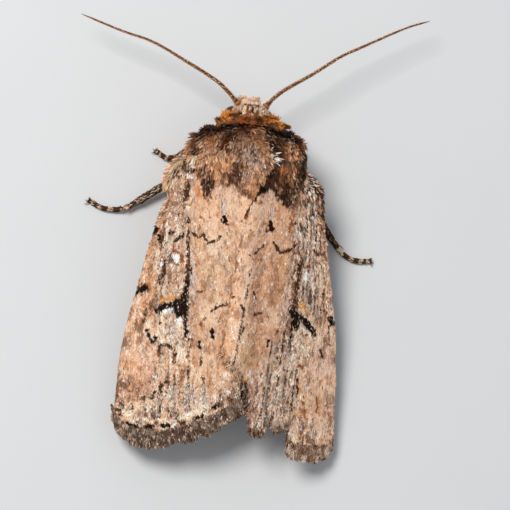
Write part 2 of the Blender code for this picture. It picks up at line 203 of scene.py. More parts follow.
# Materials by slot: name, grain (cells to the mm, height, spread of tone) and gloss (roughness, specular)
COATINGS = {
    "wing_scales": ("wing_scale", (9.0, 0.02, 0.16), (0.75, 0.10)),
    "under_scales": ("under_scale", (9.0, 0.02, 0.16), (0.75, 0.12)),
    "body_wool": ("wool", (14.0, 0.02, 0.2), (0.75, 0.10)),
    "collar_scales": ("ruff", (14.0, 0.02, 0.2), (0.7, 0.12)),
    "face_scales": ("face", (16.0, 0.015, 0.15), (0.7, 0.12)),
    "leg_scales": ("leg", (14.0, 0.015, 0.2), (0.65, 0.18)),
    "antenna_horn": ("feeler", (18.0, 0.01, 0.2), (0.5, 0.25)),
}
EYE_TONES = ((12, 8, 7), (40, 26, 18))
FLOOR_TONES = ((219, 220, 222), (223, 224, 226))

# ---------------------------------------------------------------- the body
LEG_PARTS = ("femur", "tibia", "tarsus")
LEG_NODES = [f"{leg}_{part}_{side}" for side in SIDES for leg in ("fore", "mid", "hind") for part in LEG_PARTS]
FLESH = ["abdomen", "thorax", "collar", "head"]
FLESH += [f"{kind}_{side}" for kind in ("tegula", "palp") for side in SIDES] + LEG_NODES
KINDS = ("abdomen", "thorax", "collar", "head", "tegula", "palp") + LEG_PARTS
DEPTH = {"abdomen": 0.16, "thorax": 0.26, "collar": 0.26, "head": 0.13, "tegula": 0.22, "palp": 0.05, "femur": 0.10,
         "tibia": 0.10, "tarsus": 0.08}          # depth of the coat on each kind of part
SKIN_VOXEL = 0.075
SKIN_SWELL = 0.05
WAIST = (0.0, -1.15, 2.75)                       # where the abdomen joins the thorax under the wings
WAIST_RADIUS = (1.75, 1.15, 1.25)
TARSUS_RINGS = ((0.03, 0.075), (0.36, 0.060), (0.64, 0.048), (0.82, 0.034), (1.0, 0.040))      # place, half width
MANTLE_REAR = ((-3.0, -0.3), (-2.5, -0.5), (-2.0, -0.15), (-1.2, -0.3), (-0.6, -0.5), (0.0, -1.0), (0.4, -0.65),
               (0.9, -0.25), (1.3, -0.15), (1.7, -0.85), (2.3, -1.05), (2.8, -0.95), (3.1, -0.2))

# ---------------------------------------------------------------- camera, light and floor
AIM = (0.0, -4.0, 2.3)
TILT_SIDE = math.radians(13.0)
TILT_TAIL = math.radians(8.0)
ROLL = math.radians(-4.02)
CAMERA_MM = 200.0
FRAME_MM = 30.6
SENSOR_MM = 36.0
OFF_CENTRE = (1.10, 0.02)
KEY_ASIDE = -0.32          # where the key light stands, against the camera's own direction
KEY_UP = 0.47
KEY_FAR = 0.26
KEY_SIZE = 0.10
KEY_WATTS = 0.56
KEY_COLOUR = (1.0, 0.985, 0.96)
SKY_COLOUR = (0.96, 0.98, 1.0, 1.0)
SKY_STRENGTH = 0.37
FLOOR_HALF = 0.6

# ---------------------------------------------------------------- wing markings
# Broad tints: colour, strength, centre (p, q), reach (p, q)
ZONES = {
    "left": (
        ("pale_buff", 0.6, (1.9, 3.5), (1.5, 4.5)),
        ("cream", 0.35, (2.3, 4.0), (0.9, 1.4)),
        ("brown", 0.25, (0.3, 3.6), (0.6, 0.8)),
        ("pale_buff", 0.6, (2.2, 8.4), (1.1, 1.4)),
        ("pale_buff", 0.5, (0.5, 10.2), (0.8, 1.5)),
        ("olive", 0.6, (3.0, 4.6), (0.8, 1.6)),
        ("olive", 0.4, (2.8, 9.0), (0.7, 2.4)),
        ("brown", 0.35, (3.8, 8.6), (0.5, 1.2)),
        ("brown", 0.30, (4.4, 11.0), (1.6, 1.2)),
        ("grey", 0.45, (4.0, 12.7), (1.0, 0.8)),
        ("pale_buff", 0.5, (2.3, 12.2), (0.7, 0.6)),
        ("warm", 0.55, (5.1, 1.7), (0.9, 1.6)),
        ("brown", 0.45, (5.0, 1.6), (0.8, 1.2)),
        ("warm", 0.5, (6.3, 5.0), (1.0, 3.0)),
        ("olive", 0.4, (4.7, 5.7), (0.5, 0.9)),
        ("brown", 0.50, (4.2, 2.5), (0.7, 1.3)),
        ("brown", 0.50, (4.1, 5.6), (0.6, 1.2)),
        ("brown", 0.75, (5.6, 5.5), (0.6, 1.5)),
        ("brown", 0.45, (5.3, 3.2), (0.8, 0.6)),
        ("brown", 0.50, (3.4, 6.4), (0.6, 0.7)),
        ("tawny", 0.40, (4.6, 11.5), (1.3, 0.8)),
        ("warm", 0.35, (7.3, 11.4), (1.3, 1.4)),
        ("blush", 0.6, (7.5, 9.6), (1.0, 1.3)),
        ("tawny", 0.40, (7.0, 12.3), (1.4, 0.5)),
        ("warm", 0.5, (7.4, 9.3), (0.9, 1.6)),
        ("silver", 0.8, (5.1, 8.9), (0.9, 0.9)),
        ("pink", 0.5, (6.5, 10.6), (0.8, 1.2)),
        ("lilac", 0.4, (2.6, 0.2), (0.8, 0.6)),
        ("silver", 0.75, (4.4, 12.9), (2.0, 0.7)),
        ("blush", 0.7, (7.4, 13.4), (1.5, 0.5)),
        # Dark grey-brown by the inner angle: partly the fringe's own colour, partly painted shadow of the right wing
        # over it.
        ("fringe_dark", 0.97, (1.15, 12.6), (0.75, 1.4)),
        ("pale_buff", 0.25, (0.9, 7.2), (0.7, 0.7)),
        ("pale_buff", 0.40, (2.5, -0.2), (0.8, 0.7)),
        ("pale_buff", 0.30, (5.9, 1.2), (1.4, 0.7)),
        ("brown", 0.30, (4.1, 2.7), (0.7, 0.7)),
        ("brown", 0.18, (0.9, 4.2), (0.7, 0.7)),
        ("cream", 0.30, (2.5, 4.2), (0.7, 0.7)),
        ("brown", 0.28, (4.1, 6.6), (0.7, 1.4)),
        ("tawny", 0.20, (5.7, 5.7), (0.7, 0.7)),
        ("pink", 0.35, (2.5, 9.5), (0.8, 1.5)),
        ("pale_buff", 0.30, (0.9, 10.9), (0.7, 1.4)),
        ("tawny", 0.25, (5.7, 11.7), (0.8, 0.7)),
        ("pale_buff", 0.35, (2.5, 13.2), (0.6, 0.5)),
    ),
    "right": (
        ("pink", 0.45, (1.4, 5.0), (1.4, 5.0)),
        ("pale_buff", 0.6, (0.5, 2.4), (0.7, 1.0)),
        ("pale_buff", 0.5, (0.5, 5.2), (0.6, 1.2)),
        ("pale_buff", 0.5, (0.4, 12.6), (0.8, 0.7)),
        ("brown", 0.30, (2.3, 6.8), (0.8, 1.0)),
        ("olive", 0.7, (1.6, 9.8), (0.8, 2.4)),
        ("golden", 0.35, (0.3, 9.0), (0.4, 2.0)),
        ("tawny", 0.45, (2.6, 6.1), (1.0, 2.0)),
        ("brown", 0.35, (2.5, 12.2), (0.7, 1.2)),
        ("brown", 0.75, (4.3, 0.9), (1.0, 2.0)),
        ("brown", 0.55, (5.2, 1.6), (0.7, 1.6)),
        ("blush", 0.55, (4.9, 5.8), (0.9, 2.4)),
        ("blush", 0.45, (3.6, 3.4), (0.6, 1.0)),
        ("blush", 0.75, (5.9, 5.6), (1.5, 2.6)),
        ("golden", 0.6, (5.0, 6.9), (0.5, 0.5)),
        ("grey", 0.6, (4.2, 9.6), (1.1, 2.0)),
        ("golden", 0.55, (5.5, 12.3), (0.8, 1.3)),
        ("brown", 0.40, (3.4, 11.4), (1.5, 2.2)),
        ("blush", 0.95, (7.8, 11.0), (1.7, 4.2)),
        ("golden", 0.40, (6.8, 12.3), (1.5, 1.0)),
        ("pink", 0.65, (7.0, 10.0), (1.5, 2.2)),
        ("blush", 1.0, (7.2, 14.2), (2.0, 0.7)),
        ("grey", 0.6, (3.6, 13.0), (1.5, 1.6)),
        ("fringe_dark", 0.85, (3.0, 14.7), (0.8, 0.9)),
        ("fringe_dark", 0.75, (4.5, 14.5), (0.7, 0.5)),
        ("brown", 0.5, (2.5, 13.3), (0.6, 1.2)),
        ("umber", 0.22, (1.7, -0.2), (1.4, 0.7)),
        # Brown near the costa's root stands for a leg and its shadow beside the wing: partly painted shadow.
        ("brown", 0.60, (5.8, 2.2), (0.8, 1.3)),
        ("tawny", 0.30, (4.1, 1.9), (0.8, 1.4)),
        ("pale_buff", 0.35, (0.9, 2.7), (0.6, 0.7)),
        ("brown", 0.20, (2.5, 2.7), (0.7, 0.7)),
        ("golden", 0.25, (4.1, 4.2), (0.7, 0.7)),
        ("pale_buff", 0.35, (0.9, 6.3), (0.6, 1.4)),
        ("golden", 0.30, (5.7, 6.5), (0.8, 1.5)),
        ("brown", 0.25, (2.5, 7.2), (0.7, 0.7)),
        ("brown", 0.25, (4.1, 9.5), (0.7, 1.4)),
        ("tawny", 0.20, (4.1, 11.7), (0.7, 0.7)),
        ("blush", 0.50, (7.4, 12.2), (0.8, 1.0)),
        ("silver", 0.40, (0.9, 13.2), (0.6, 0.5)),
        ("brown", 0.20, (2.5, 13.2), (0.6, 0.5)),
    ),
}

# Where the outer part of the wing is smooth: centre and reach
CALM = {
    "left": ((7.3, 11.0), (1.4, 1.8)),
    "right": ((7.4, 11.6), (1.8, 3.2)),
}

# How the mottling, the streaks and the brush over the costal root differ between the wings
ROUGH_FROM = {"left": 3.6, "right": 3.0}         # the lane where the rough part starts
CALMER_OUT = {"left": 0.45, "right": 0.25}       # how much calmer it is again beside the costa
RUN_GROWS = {"left": 0.10, "right": 0.03}
STRANDS_SLANT = {"left": 0.0, "right": 0.4}
SHOULDER_DARK = {"left": 0.24, "right": 0.50}

# The tint that a mark has at its edge, where it isn't its own
SOFT_EDGE = {"black": "umber", "umber": "brown"}

# Flecks on top of the mottling: colour, amount, cells to the mm across and along, seed, share where calm and rough
FLECKS = (
    ("tawny", 0.7, 4.2, 2.6, 205, (0.13, 0.13)),
    ("white", 0.7, 7.0, 4.0, 206, (0.01, 0.16)),
    ("rust", 0.55, 6.0, 2.6, 211, (0.10, 0.05)),
    ("umber", 0.9, 7.5, 5.5, 210, (-0.08, 0.14)),
    ("black", 0.9, 9.0, 6.5, 212, (-0.15, 0.04)),
)

# Veins that show as dashed dark lines between pale ones: lane, and the stretch of q over which they show
VEINS = {
    "left": ((3.3, 10.0, 14.0), (4.15, 2.6, 14.0), (5.0, 9.6, 14.0), (5.85, 3.0, 14.2), (6.6, 12.9, 14.3),
             (7.3, 13.0, 14.3)),
    "right": ((0.9, 5.0, 13.0), (3.1, 9.0, 14.3), (3.9, 4.0, 14.3), (4.45, 0.4, 14.3), (5.1, 0.4, 14.0),
              (5.85, 1.0, 10.5), (6.5, 4.0, 9.0), (7.3, 6.0, 8.6)),
}

# Marks: colour, half width, strength, path of (p, q)
MARKS = {
    "left": (
        # wing base
        ("white", 0.17, 0.9, ((3.5, -1.0),)),
        ("black", 0.11, 0.9, ((3.0, -0.65), (3.9, -0.62))),
        ("white", 0.13, 0.85, ((3.7, -0.35),)),
        ("orange", 0.13, 0.7, ((3.1, -0.8), (3.2, -0.4))),
        ("orange", 0.15, 0.6, ((3.35, 0.4), (3.3, 0.8))),
        ("black", 0.13, 0.8, ((4.4, -0.5),)),
        ("umber", 0.20, 0.9, ((3.9, 0.1), (4.05, 0.5), (4.15, 1.0))),
        ("umber", 0.08, 0.9, ((2.5, 0.5),)),
        ("umber", 0.05, 0.8, ((1.9, 1.05), (1.9, 1.3))),
        ("rust", 0.07, 0.8, ((3.2, 1.75),)),
        ("rust", 0.07, 0.8, ((3.2, 2.1),)),
        ("rust", 0.07, 0.8, ((3.3, 2.75),)),
        # claviform spot on the fold
        ("silver", 0.09, 0.8, ((1.78, 1.0), (1.8, 1.65))),
        ("black", 0.16, 1.1, ((1.76, 2.08), (1.74, 2.24))),
        ("umber", 0.07, 0.7, ((1.6, 2.4),)),
        ("black", 0.13, 0.85, ((3.9, 2.3), (3.9, 2.42))),
        # antemedian line
        ("umber", 0.065, 0.8, ((2.0, 3.15), (2.2, 3.38), (2.55, 3.5), (2.82, 3.65))),
        ("umber", 0.075, 0.9, ((2.9, 3.45), (3.1, 3.05), (3.35, 3.32))),
        ("umber", 0.075, 0.9, ((3.4, 3.3), (3.7, 3.05))),
        ("black", 0.10, 0.85, ((4.25, 3.2), (4.5, 3.42), (4.75, 3.6))),
        ("black", 0.12, 0.85, ((4.9, 3.05), (5.0, 3.15))),
        ("black", 0.11, 0.8, ((5.65, 3.3), (5.6, 3.9))),
        ("black", 0.20, 0.85, ((5.85, 2.95), (6.1, 3.2))),
        ("grey", 0.09, 0.7, ((1.2, 3.75),)),
        # orbicular spot
        ("rust", 0.10, 0.75, ((4.35, 4.75), (4.4, 4.35), (4.75, 4.22))),
        ("umber", 0.08, 0.8, ((4.97, 4.6), (4.95, 5.05))),
        ("white", 0.15, 1.2, ((4.67, 4.48), (4.69, 4.72))),
        # cubital streak
        ("umber", 0.11, 0.75, ((3.95, 3.0), (4.0, 5.0))),
        ("umber", 0.17, 0.85, ((4.0, 5.0), (4.05, 6.0))),
        ("black", 0.12, 0.8, ((3.85, 5.2), (3.88, 5.5))),
        ("black", 0.17, 0.8, ((4.1, 6.0), (4.3, 7.0))),
        ("silver", 0.15, 0.6, ((3.75, 4.3), (3.75, 7.0))),
        # subcostal streak
        ("umber", 0.09, 0.8, ((5.35, 3.2), (5.6, 4.1))),
        ("umber", 0.13, 0.75, ((5.35, 4.7), (5.5, 5.4), (5.75, 6.1))),
        ("white", 0.07, 0.6, ((5.55, 4.9), (5.7, 5.4))),
        ("umber", 0.07, 0.5, ((4.6, 5.6), (5.2, 6.3))),
        ("cream", 0.10, 0.6, ((5.0, 5.0),)),
        ("umber", 0.13, 0.6, ((6.5, 4.6), (6.8, 5.3))),
        ("umber", 0.09, 0.7, ((5.2, 6.1),)),
        ("black", 0.23, 0.9, ((6.65, 6.45), (7.2, 6.75))),
        # reniform spot
        ("golden", 0.16, 0.8, ((4.8, 6.95), (5.6, 7.1))),
        ("black", 0.19, 1.1, ((4.15, 7.05), (4.7, 7.25), (5.4, 7.5), (5.95, 7.72))),
        ("black", 0.34, 1.1, ((4.4, 7.35), (4.6, 7.8))),
        ("black", 0.10, 0.9, ((4.3, 8.1), (4.25, 9.2))),
        ("umber", 0.09, 0.7, ((4.2, 10.3),)),
        ("umber", 0.09, 0.75, ((4.2, 11.2), (4.2, 11.6))),
        ("umber", 0.07, 0.5, ((4.2, 11.8), (4.25, 12.6))),
        ("white", 0.12, 0.8, ((5.1, 7.65), (5.5, 7.8))),
        ("white", 0.12, 0.75, ((4.6, 8.2), (4.55, 8.5))),
        ("cream", 0.45, 0.35, ((4.9, 8.6), (5.9, 9.2))),
        # median dots and postmedian line
        ("grey", 0.11, 0.8, ((1.75, 6.2),)),
        ("grey", 0.11, 0.8, ((2.8, 6.05),)),
        ("umber", 0.10, 0.6, ((3.2, 6.5), (3.5, 6.5))),
        ("umber", 0.08, 0.75, ((1.7, 7.1), (2.0, 7.2), (2.4, 7.35), (2.7, 7.6))),
        ("umber", 0.08, 0.5, ((3.1, 8.0), (3.4, 8.5))),
        ("black", 0.12, 0.9, ((2.65, 8.7), (2.68, 9.15))),
        ("black", 0.10, 1.0, ((3.45, 9.5), (3.47, 9.8))),
        ("umber", 0.09, 0.8, ((3.4, 10.4), (3.4, 10.8))),
        ("umber", 0.13, 0.5, ((3.95, 9.4), (3.95, 9.8))),
        ("umber", 0.09, 0.8, ((6.5, 8.9),)),
        ("black", 0.10, 0.85, ((6.1, 9.35), (6.35, 9.6), (6.6, 8.95))),
        ("umber", 0.11, 0.7, ((6.6, 7.7), (6.75, 8.4))),
        ("rust", 0.11, 0.6, ((7.6, 8.0), (7.9, 8.6))),
        ("umber", 0.08, 0.9, ((5.1, 9.95), (5.4, 9.72), (5.85, 9.8), (5.95, 10.4))),
        ("umber", 0.10, 0.8, ((4.9, 10.3), (5.0, 10.7))),
        ("rust", 0.09, 0.7, ((4.95, 10.5),)),
        ("rust", 0.10, 0.6, ((5.9, 10.2), (5.9, 10.6))),
        # subterminal wedges and line
        ("umber", 0.11, 0.8, ((5.4, 11.4), (5.5, 11.9))),
        ("umber", 0.11, 0.75, ((5.75, 12.0), (5.95, 12.6))),
        ("umber", 0.12, 0.8, ((6.2, 12.55), (6.45, 12.95))),
        ("umber", 0.09, 0.7, ((6.9, 12.85), (6.9, 13.15))),
        ("umber", 0.13, 0.7, ((8.6, 12.4), (8.6, 12.9))),
        ("umber", 0.12, 0.6, ((8.4, 11.2), (8.4, 11.6))),
        ("grey", 0.10, 0.6, ((3.2, 12.0), (3.3, 13.4))),
        ("grey", 0.10, 0.6, ((4.2, 12.0), (4.3, 13.6))),
        ("grey", 0.10, 0.6, ((5.0, 12.2), (5.2, 13.8))),
        ("grey", 0.10, 0.6, ((6.0, 13.0), (6.2, 13.9))),
        ("cream", 0.14, 0.55, ((3.0, 13.1), (3.9, 13.7), (4.8, 14.0), (6.0, 14.25), (7.5, 14.25), (8.4, 13.6))),
        # painted shadow under the right wing's torn edge, then lunules along the margin
        ("black", 0.13, 1.0, ((0.90, 12.0), (0.92, 12.6))),
        ("black", 0.12, 1.0, ((2.45, 13.08), (2.7, 13.28))),
        ("black", 0.12, 1.0, ((3.45, 13.82), (3.8, 13.98))),
        ("umber", 0.11, 0.8, ((4.45, 14.2), (4.75, 14.28))),
        ("black", 0.12, 1.1, ((5.4, 14.43), (5.8, 14.52))),
        ("black", 0.12, 1.1, ((6.4, 14.62), (6.8, 14.68))),
        ("black", 0.12, 1.1, ((7.45, 14.62), (7.9, 14.52))),
        ("umber", 0.13, 0.9, ((8.35, 13.95), (8.45, 13.7))),
    ),
    "right": (
        # inner margin, wing base and inner shade
        ("brown", 0.08, 0.42, ((0.03, 3.0), (0.03, 7.0), (0.03, 10.3))),
        ("pale_buff", 0.08, 0.35, ((0.22, 3.4), (0.22, 10.6))),
        ("umber", 0.11, 0.75, ((1.1, 0.3), (0.5, 0.8), (0.25, 1.3), (0.12, 1.8), (0.0, 2.2))),
        ("cream", 0.10, 0.7, ((0.2, 1.1),)),
        ("rust", 0.07, 0.8, ((0.1, 2.2),)),
        ("rust", 0.07, 0.8, ((0.4, 2.5),)),
        ("rust", 0.08, 0.8, ((0.85, 1.1),)),
        ("rust", 0.08, 0.8, ((1.85, 1.45),)),
        ("silver", 0.08, 0.9, ((1.75, 1.5), (1.75, 1.9))),
        ("black", 0.13, 0.9, ((1.72, 2.15), (1.72, 2.45), (1.85, 2.65))),
        ("umber", 0.09, 0.8, ((1.55, 2.75),)),
        ("rust", 0.17, 0.55, ((3.15, 0.6), (3.1, 2.8))),
        ("umber", 0.09, 0.8, ((3.35, 2.1),)),
        ("cream", 0.25, 0.6, ((4.2, -0.8), (4.8, -0.6))),
        ("black", 0.09, 0.8, ((4.1, -0.9), (4.5, -0.75), (4.9, -0.5))),
        ("umber", 0.07, 0.95, ((3.5, -0.6), (3.9, 0.5), (4.3, 2.6))),
        ("umber", 0.07, 0.95, ((3.8, -0.8), (4.3, 0.2), (4.8, 1.7), (5.0, 3.0))),
        ("umber", 0.07, 0.95, ((4.2, -0.7), (4.8, 0.4), (5.2, 1.6))),
        ("umber", 0.06, 0.9, ((4.6, -0.4), (5.15, 0.7))),
        ("white", 0.05, 0.7, ((3.7, -0.8), (4.15, 0.4), (4.5, 1.6))),
        ("blush", 0.06, 0.7, ((4.1, -0.6), (4.6, 1.0), (5.1, 2.6))),
        ("blush", 0.06, 0.7, ((3.6, -0.4), (4.0, 1.2), (4.5, 2.8))),
        # antemedian line
        ("umber", 0.08, 0.75, ((0.7, 4.35),)),
        ("umber", 0.08, 0.75, ((1.0, 4.2), (1.2, 3.9), (1.5, 3.65))),
        ("umber", 0.10, 0.8, ((2.1, 3.4), (2.5, 3.8), (2.8, 3.93), (3.1, 3.75), (3.4, 3.6), (3.65, 3.3))),
        ("black", 0.10, 0.7, ((5.0, 3.5), (5.2, 3.65))),
        ("umber", 0.13, 0.6, ((5.2, 3.7), (5.8, 3.6))),
        # orbicular spot and streaks
        ("rust", 0.12, 0.7, ((4.5, 4.5), (4.8, 4.45))),
        ("white", 0.13, 1.15, ((4.73, 4.92), (4.75, 5.2))),
        ("umber", 0.11, 0.7, ((4.15, 4.3), (4.15, 5.9))),
        ("black", 0.10, 0.5, ((5.7, 4.0), (5.75, 5.0))),
        ("black", 0.10, 0.5, ((6.15, 5.5), (6.25, 6.5))),
        ("white", 0.08, 0.3, ((5.3, 4.2), (5.5, 6.4))),
        # A broad brown band along the cubital streak: the wing's brown with painted shade of the fold where the costal
        # part turns down.
        ("brown", 0.28, 0.6, ((4.05, 4.2), (4.15, 7.2), (4.0, 9.4))),
        ("umber", 0.17, 0.75, ((4.15, 4.4), (4.2, 7.2))),
        # reniform spot
        ("golden", 0.18, 0.75, ((4.75, 6.7), (5.2, 7.2))),
        ("black", 0.19, 0.9, ((4.05, 7.3), (4.7, 7.5), (5.3, 7.85), (5.95, 8.35))),
        ("black", 0.33, 0.85, ((4.4, 7.6), (4.6, 7.95))),
        ("black", 0.11, 0.8, ((4.3, 8.3), (4.3, 9.4))),
        ("umber", 0.10, 0.7, ((3.85, 8.5), (3.88, 9.6))),
        ("white", 0.11, 0.45, ((5.0, 8.15), (5.4, 8.35))),
        ("white", 0.12, 0.4, ((6.1, 8.7), (6.6, 9.1))),
        ("cream", 0.45, 0.35, ((4.4, 8.9), (5.4, 9.4))),
        ("black", 0.19, 0.85, ((6.95, 7.35), (7.25, 7.6))),
        ("umber", 0.22, 0.6, ((6.5, 7.0), (6.7, 7.3))),
        # median and postmedian dots
        ("umber", 0.08, 0.8, ((0.2, 6.9),)),
        ("umber", 0.08, 0.8, ((1.35, 6.5), (1.6, 6.85))),
        ("umber", 0.09, 0.8, ((0.7, 7.4), (0.9, 7.6))),
        ("umber", 0.08, 0.75, ((1.65, 7.75), (2.1, 7.6))),
        ("umber", 0.08, 0.75, ((2.5, 7.8),)),
        ("black", 0.09, 0.85, ((1.05, 8.65), (1.05, 8.85))),
        ("black", 0.10, 0.85, ((2.85, 9.2), (2.85, 9.5))),
        ("umber", 0.09, 0.8, ((3.35, 8.6),)),
        ("umber", 0.09, 0.8, ((3.6, 10.15),)),
        ("umber", 0.09, 0.8, ((4.25, 10.75),)),
        ("rust", 0.08, 0.7, ((0.85, 9.7), (0.9, 10.3))),
        ("umber", 0.12, 0.7, ((6.65, 9.3), (6.9, 9.7))),
        ("umber", 0.09, 0.7, ((6.25, 10.1),)),
        ("rust", 0.10, 0.7, ((5.2, 10.45), (5.6, 10.45))),
        ("rust", 0.10, 0.7, ((5.85, 11.0),)),
        ("umber", 0.10, 0.7, ((7.4, 8.9),)),
        # towards the margin
        ("golden", 0.10, 0.5, ((1.75, 11.7), (1.75, 12.0))),
        # Painted shadow: the dark hollow under the torn edge.
        ("black", 0.16, 0.9, ((1.7, 11.95), (1.9, 12.6))),
        ("red_brown", 0.11, 0.6, ((5.3, 11.2), (5.5, 12.2))),
        ("rust", 0.12, 0.6, ((6.0, 12.6), (6.2, 13.3))),
        ("tawny", 0.13, 0.6, ((6.1, 13.2), (6.4, 13.5))),
        ("rust", 0.12, 0.5, ((7.0, 12.2), (7.1, 13.0))),
        ("rust", 0.12, 0.5, ((8.0, 12.4), (8.1, 13.0))),
        ("white", 0.10, 0.35, ((5.6, 14.0), (6.4, 14.3), (7.4, 14.3), (8.4, 13.8))),
        ("umber", 0.22, 0.7, ((2.7, 14.6), (3.3, 14.6))),
        ("umber", 0.20, 0.6, ((4.2, 14.3), (4.6, 14.3))),
        ("umber", 0.12, 0.75, ((5.4, 15.2),)),
        ("umber", 0.13, 0.9, ((6.0, 15.1), (6.3, 15.15))),
        ("umber", 0.13, 0.9, ((7.3, 15.15), (7.6, 15.1))),
        ("umber", 0.12, 0.7, ((8.6, 14.6),)),
    ),
}

# Marks on the coat of thorax, collar and tegulae, seen from above: colour, half width, strength, path of (x, y)
BODY_MARKS = (
    ("tan", 1.0, 0.75, ((-2.4, 2.0), (-2.3, 0.9))),
    ("pale_buff", 0.30, 0.6, ((-1.9, 1.6), (-1.2, 1.8))),
    ("tan", 0.5, 0.6, ((-1.5, 1.4), (-0.9, 1.9))),
    ("lilac", 0.42, 0.55, ((-0.45, 1.6), (-0.3, 1.2))),
    ("tan", 0.55, 0.8, ((0.4, 2.0), (0.7, 1.6), (0.3, 0.9))),
    ("brown", 0.95, 0.85, ((2.3, 2.8), (2.2, 0.8))),
    ("rust", 0.13, 0.75, ((1.75, 2.9), (1.85, 1.9))),
    ("tawny", 0.11, 0.75, ((2.05, 2.8), (2.15, 0.4))),
    ("tan", 0.10, 0.75, ((2.25, 2.9), (2.5, 1.6), (2.6, 1.0))),
    ("tawny", 0.12, 0.7, ((2.4, 3.0), (2.8, 2.7), (3.2, 2.6))),
    ("umber", 0.09, 0.8, ((2.35, 2.8), (2.7, 1.4))),
    ("umber", 0.08, 0.8, ((2.0, 2.2), (2.2, 0.9))),
    ("tan", 0.09, 0.6, ((2.2, 1.4), (2.3, 0.6))),
    ("tawny", 0.3, 0.5, ((-2.6, 2.9), (-2.4, 2.3))),
    ("ruff", 0.50, 1.05, ((-2.4, 3.75), (-1.4, 4.15))),
    ("ruff", 0.46, 1.0, ((0.85, 4.3), (1.4, 4.0), (2.2, 3.7))),
    ("ruff_dark", 0.35, 0.6, ((0.9, 3.9), (1.4, 3.6), (2.2, 3.4))),
    ("ruff_dark", 0.50, 0.95, ((-0.7, 3.9), (-0.2, 3.8), (0.2, 4.0))),
    ("umber", 0.14, 0.6, ((-1.0, 3.7), (-0.75, 4.2))),
    ("umber", 0.14, 0.6, ((0.5, 3.7), (0.3, 4.2))),
    ("red_brown", 0.24, 0.6, ((-0.9, 3.35), (-0.2, 3.3), (0.5, 3.5))),
    ("umber", 0.42, 0.65, ((-1.3, 3.2), (-1.5, 2.5))),
    ("red_brown", 0.28, 0.8, ((-1.65, 2.5), (-1.6, 2.1))),
    ("umber", 0.35, 0.6, ((-0.9, 0.9), (-1.3, 0.1))),
    ("umber", 0.28, 0.65, ((-2.6, 0.3), (-2.6, -0.4))),
    ("umber", 0.20, 0.5, ((-2.0, 0.7), (-1.6, 0.5))),
    ("grey", 0.22, 0.5, ((-3.2, 2.4), (-3.3, 1.4))),
    ("umber", 0.13, 0.6, ((-3.1, 2.6), (-3.2, 1.6))),
    ("red_brown", 0.15, 0.8, ((-0.6, 2.1), (-0.2, 1.95))),
    ("rust", 0.13, 0.7, ((0.2, 2.7), (0.5, 2.6))),
    ("rust", 0.12, 0.6, ((-0.4, 2.7), (-0.1, 2.9))),
    ("umber", 0.20, 0.8, ((-3.2, 3.0), (-2.3, 3.15), (-1.2, 3.4))),
    ("black", 0.11, 0.75, ((-3.2, 3.1), (-2.3, 3.25), (-1.2, 3.5))),
    ("black", 0.13, 0.75, ((-0.5, 3.25), (-0.3, 3.25))),
    # The dark band along the inner edge of the right tegula is partly its dark scales and partly painted shadow cast by
    # the crest.
    ("umber", 0.42, 0.85, ((0.8, 3.5), (1.15, 3.0), (1.3, 2.1))),
    ("black", 0.24, 0.85, ((0.75, 3.5), (1.1, 3.0), (1.3, 2.2))),
    ("umber", 0.32, 0.85, ((1.2, 3.3), (2.0, 3.25), (3.0, 3.1))),
    ("black", 0.18, 0.8, ((1.2, 3.35), (2.0, 3.3), (2.8, 3.2))),
    ("umber", 0.30, 0.75, ((1.6, 2.0), (1.6, 1.0))),
    # The dark patch and V below, beside the crest's right edge, are partly dark scales and partly painted shadow of the
    # crest; the tegula's tail is dark of itself.
    ("umber", 0.40, 0.75, ((1.3, 0.9), (1.1, 0.3))),
    ("umber", 0.40, 0.65, ((1.6, 0.4), (2.8, 0.2))),
    ("umber", 0.50, 0.75, ((2.2, 0.0), (2.4, -0.9))),
    ("black", 0.20, 0.9, ((1.25, 1.1), (0.85, 0.4), (0.65, 0.0), (0.35, -0.8))),
    ("umber", 0.30, 0.85, ((0.9, 0.3), (1.4, 0.0), (1.9, -0.3))),
    ("black", 0.20, 0.6, ((2.1, -0.2), (2.3, -0.8))),
    ("umber", 0.26, 0.85, ((3.1, 2.5), (3.1, 1.5), (2.9, 0.6))),
    ("umber", 0.10, 0.6, ((2.3, 2.2), (2.4, 1.2))),
    ("umber", 0.20, 0.60, ((1.5, 2.9), (1.42, 1.9), (1.35, 1.2))),
    ("ruff_dark", 0.26, 0.75, ((-0.35, 3.45), (0.35, 3.5))),
    ("lilac", 0.55, 0.45, ((-0.5, 1.9), (0.1, 1.3), (-0.2, 0.6))),
    ("tawny", 0.26, 0.60, ((1.85, 2.6), (1.95, 1.3))),
    ("tan", 0.10, 0.65, ((2.6, 2.5), (2.5, 1.5))),
)

# Brushes of longer hair on the shoulders: centre, reach, way, tint at the root and the tip, strands, length
SHOULDER_TUFTS = (
    ((-2.45, 3.14, 4.15), (0.42, 0.10, 0.12), (-0.30, 1.0, -0.1), "umber", "umber", 150, 0.24),
    ((2.05, 3.24, 4.20), (0.40, 0.12, 0.14), (0.35, 1.0, -0.1), "black", "umber", 200, 0.30),
    ((2.75, 2.98, 4.30), (0.30, 0.12, 0.14), (0.55, 0.8, -0.1), "umber", "brown", 110, 0.24),
    ((-3.35, 2.25, 4.25), (0.20, 0.50, 0.25), (-0.85, -0.55, -0.1), "umber", "brown", 200, 0.42),
    ((-3.50, 1.75, 4.20), (0.15, 0.45, 0.22), (-0.90, -0.60, -0.1), "umber", "tan", 200, 0.50),
    ((3.05, 2.66, 4.35), (0.12, 0.20, 0.14), (0.95, 0.15, 0.0), "brown", "warm", 50, 0.24),
)

# Brushes of the ruff in front of the shoulders: way out, centre, reach, shade (a painted shade that darkens the right
# brush, on the side away from the light)
RUFF_BRUSHES = (
    (-1.0, (-1.22, 4.16, 3.0), 0.34, 1.0),
    (1.0, (1.32, 4.24, 2.95), 0.42, 0.8),
)

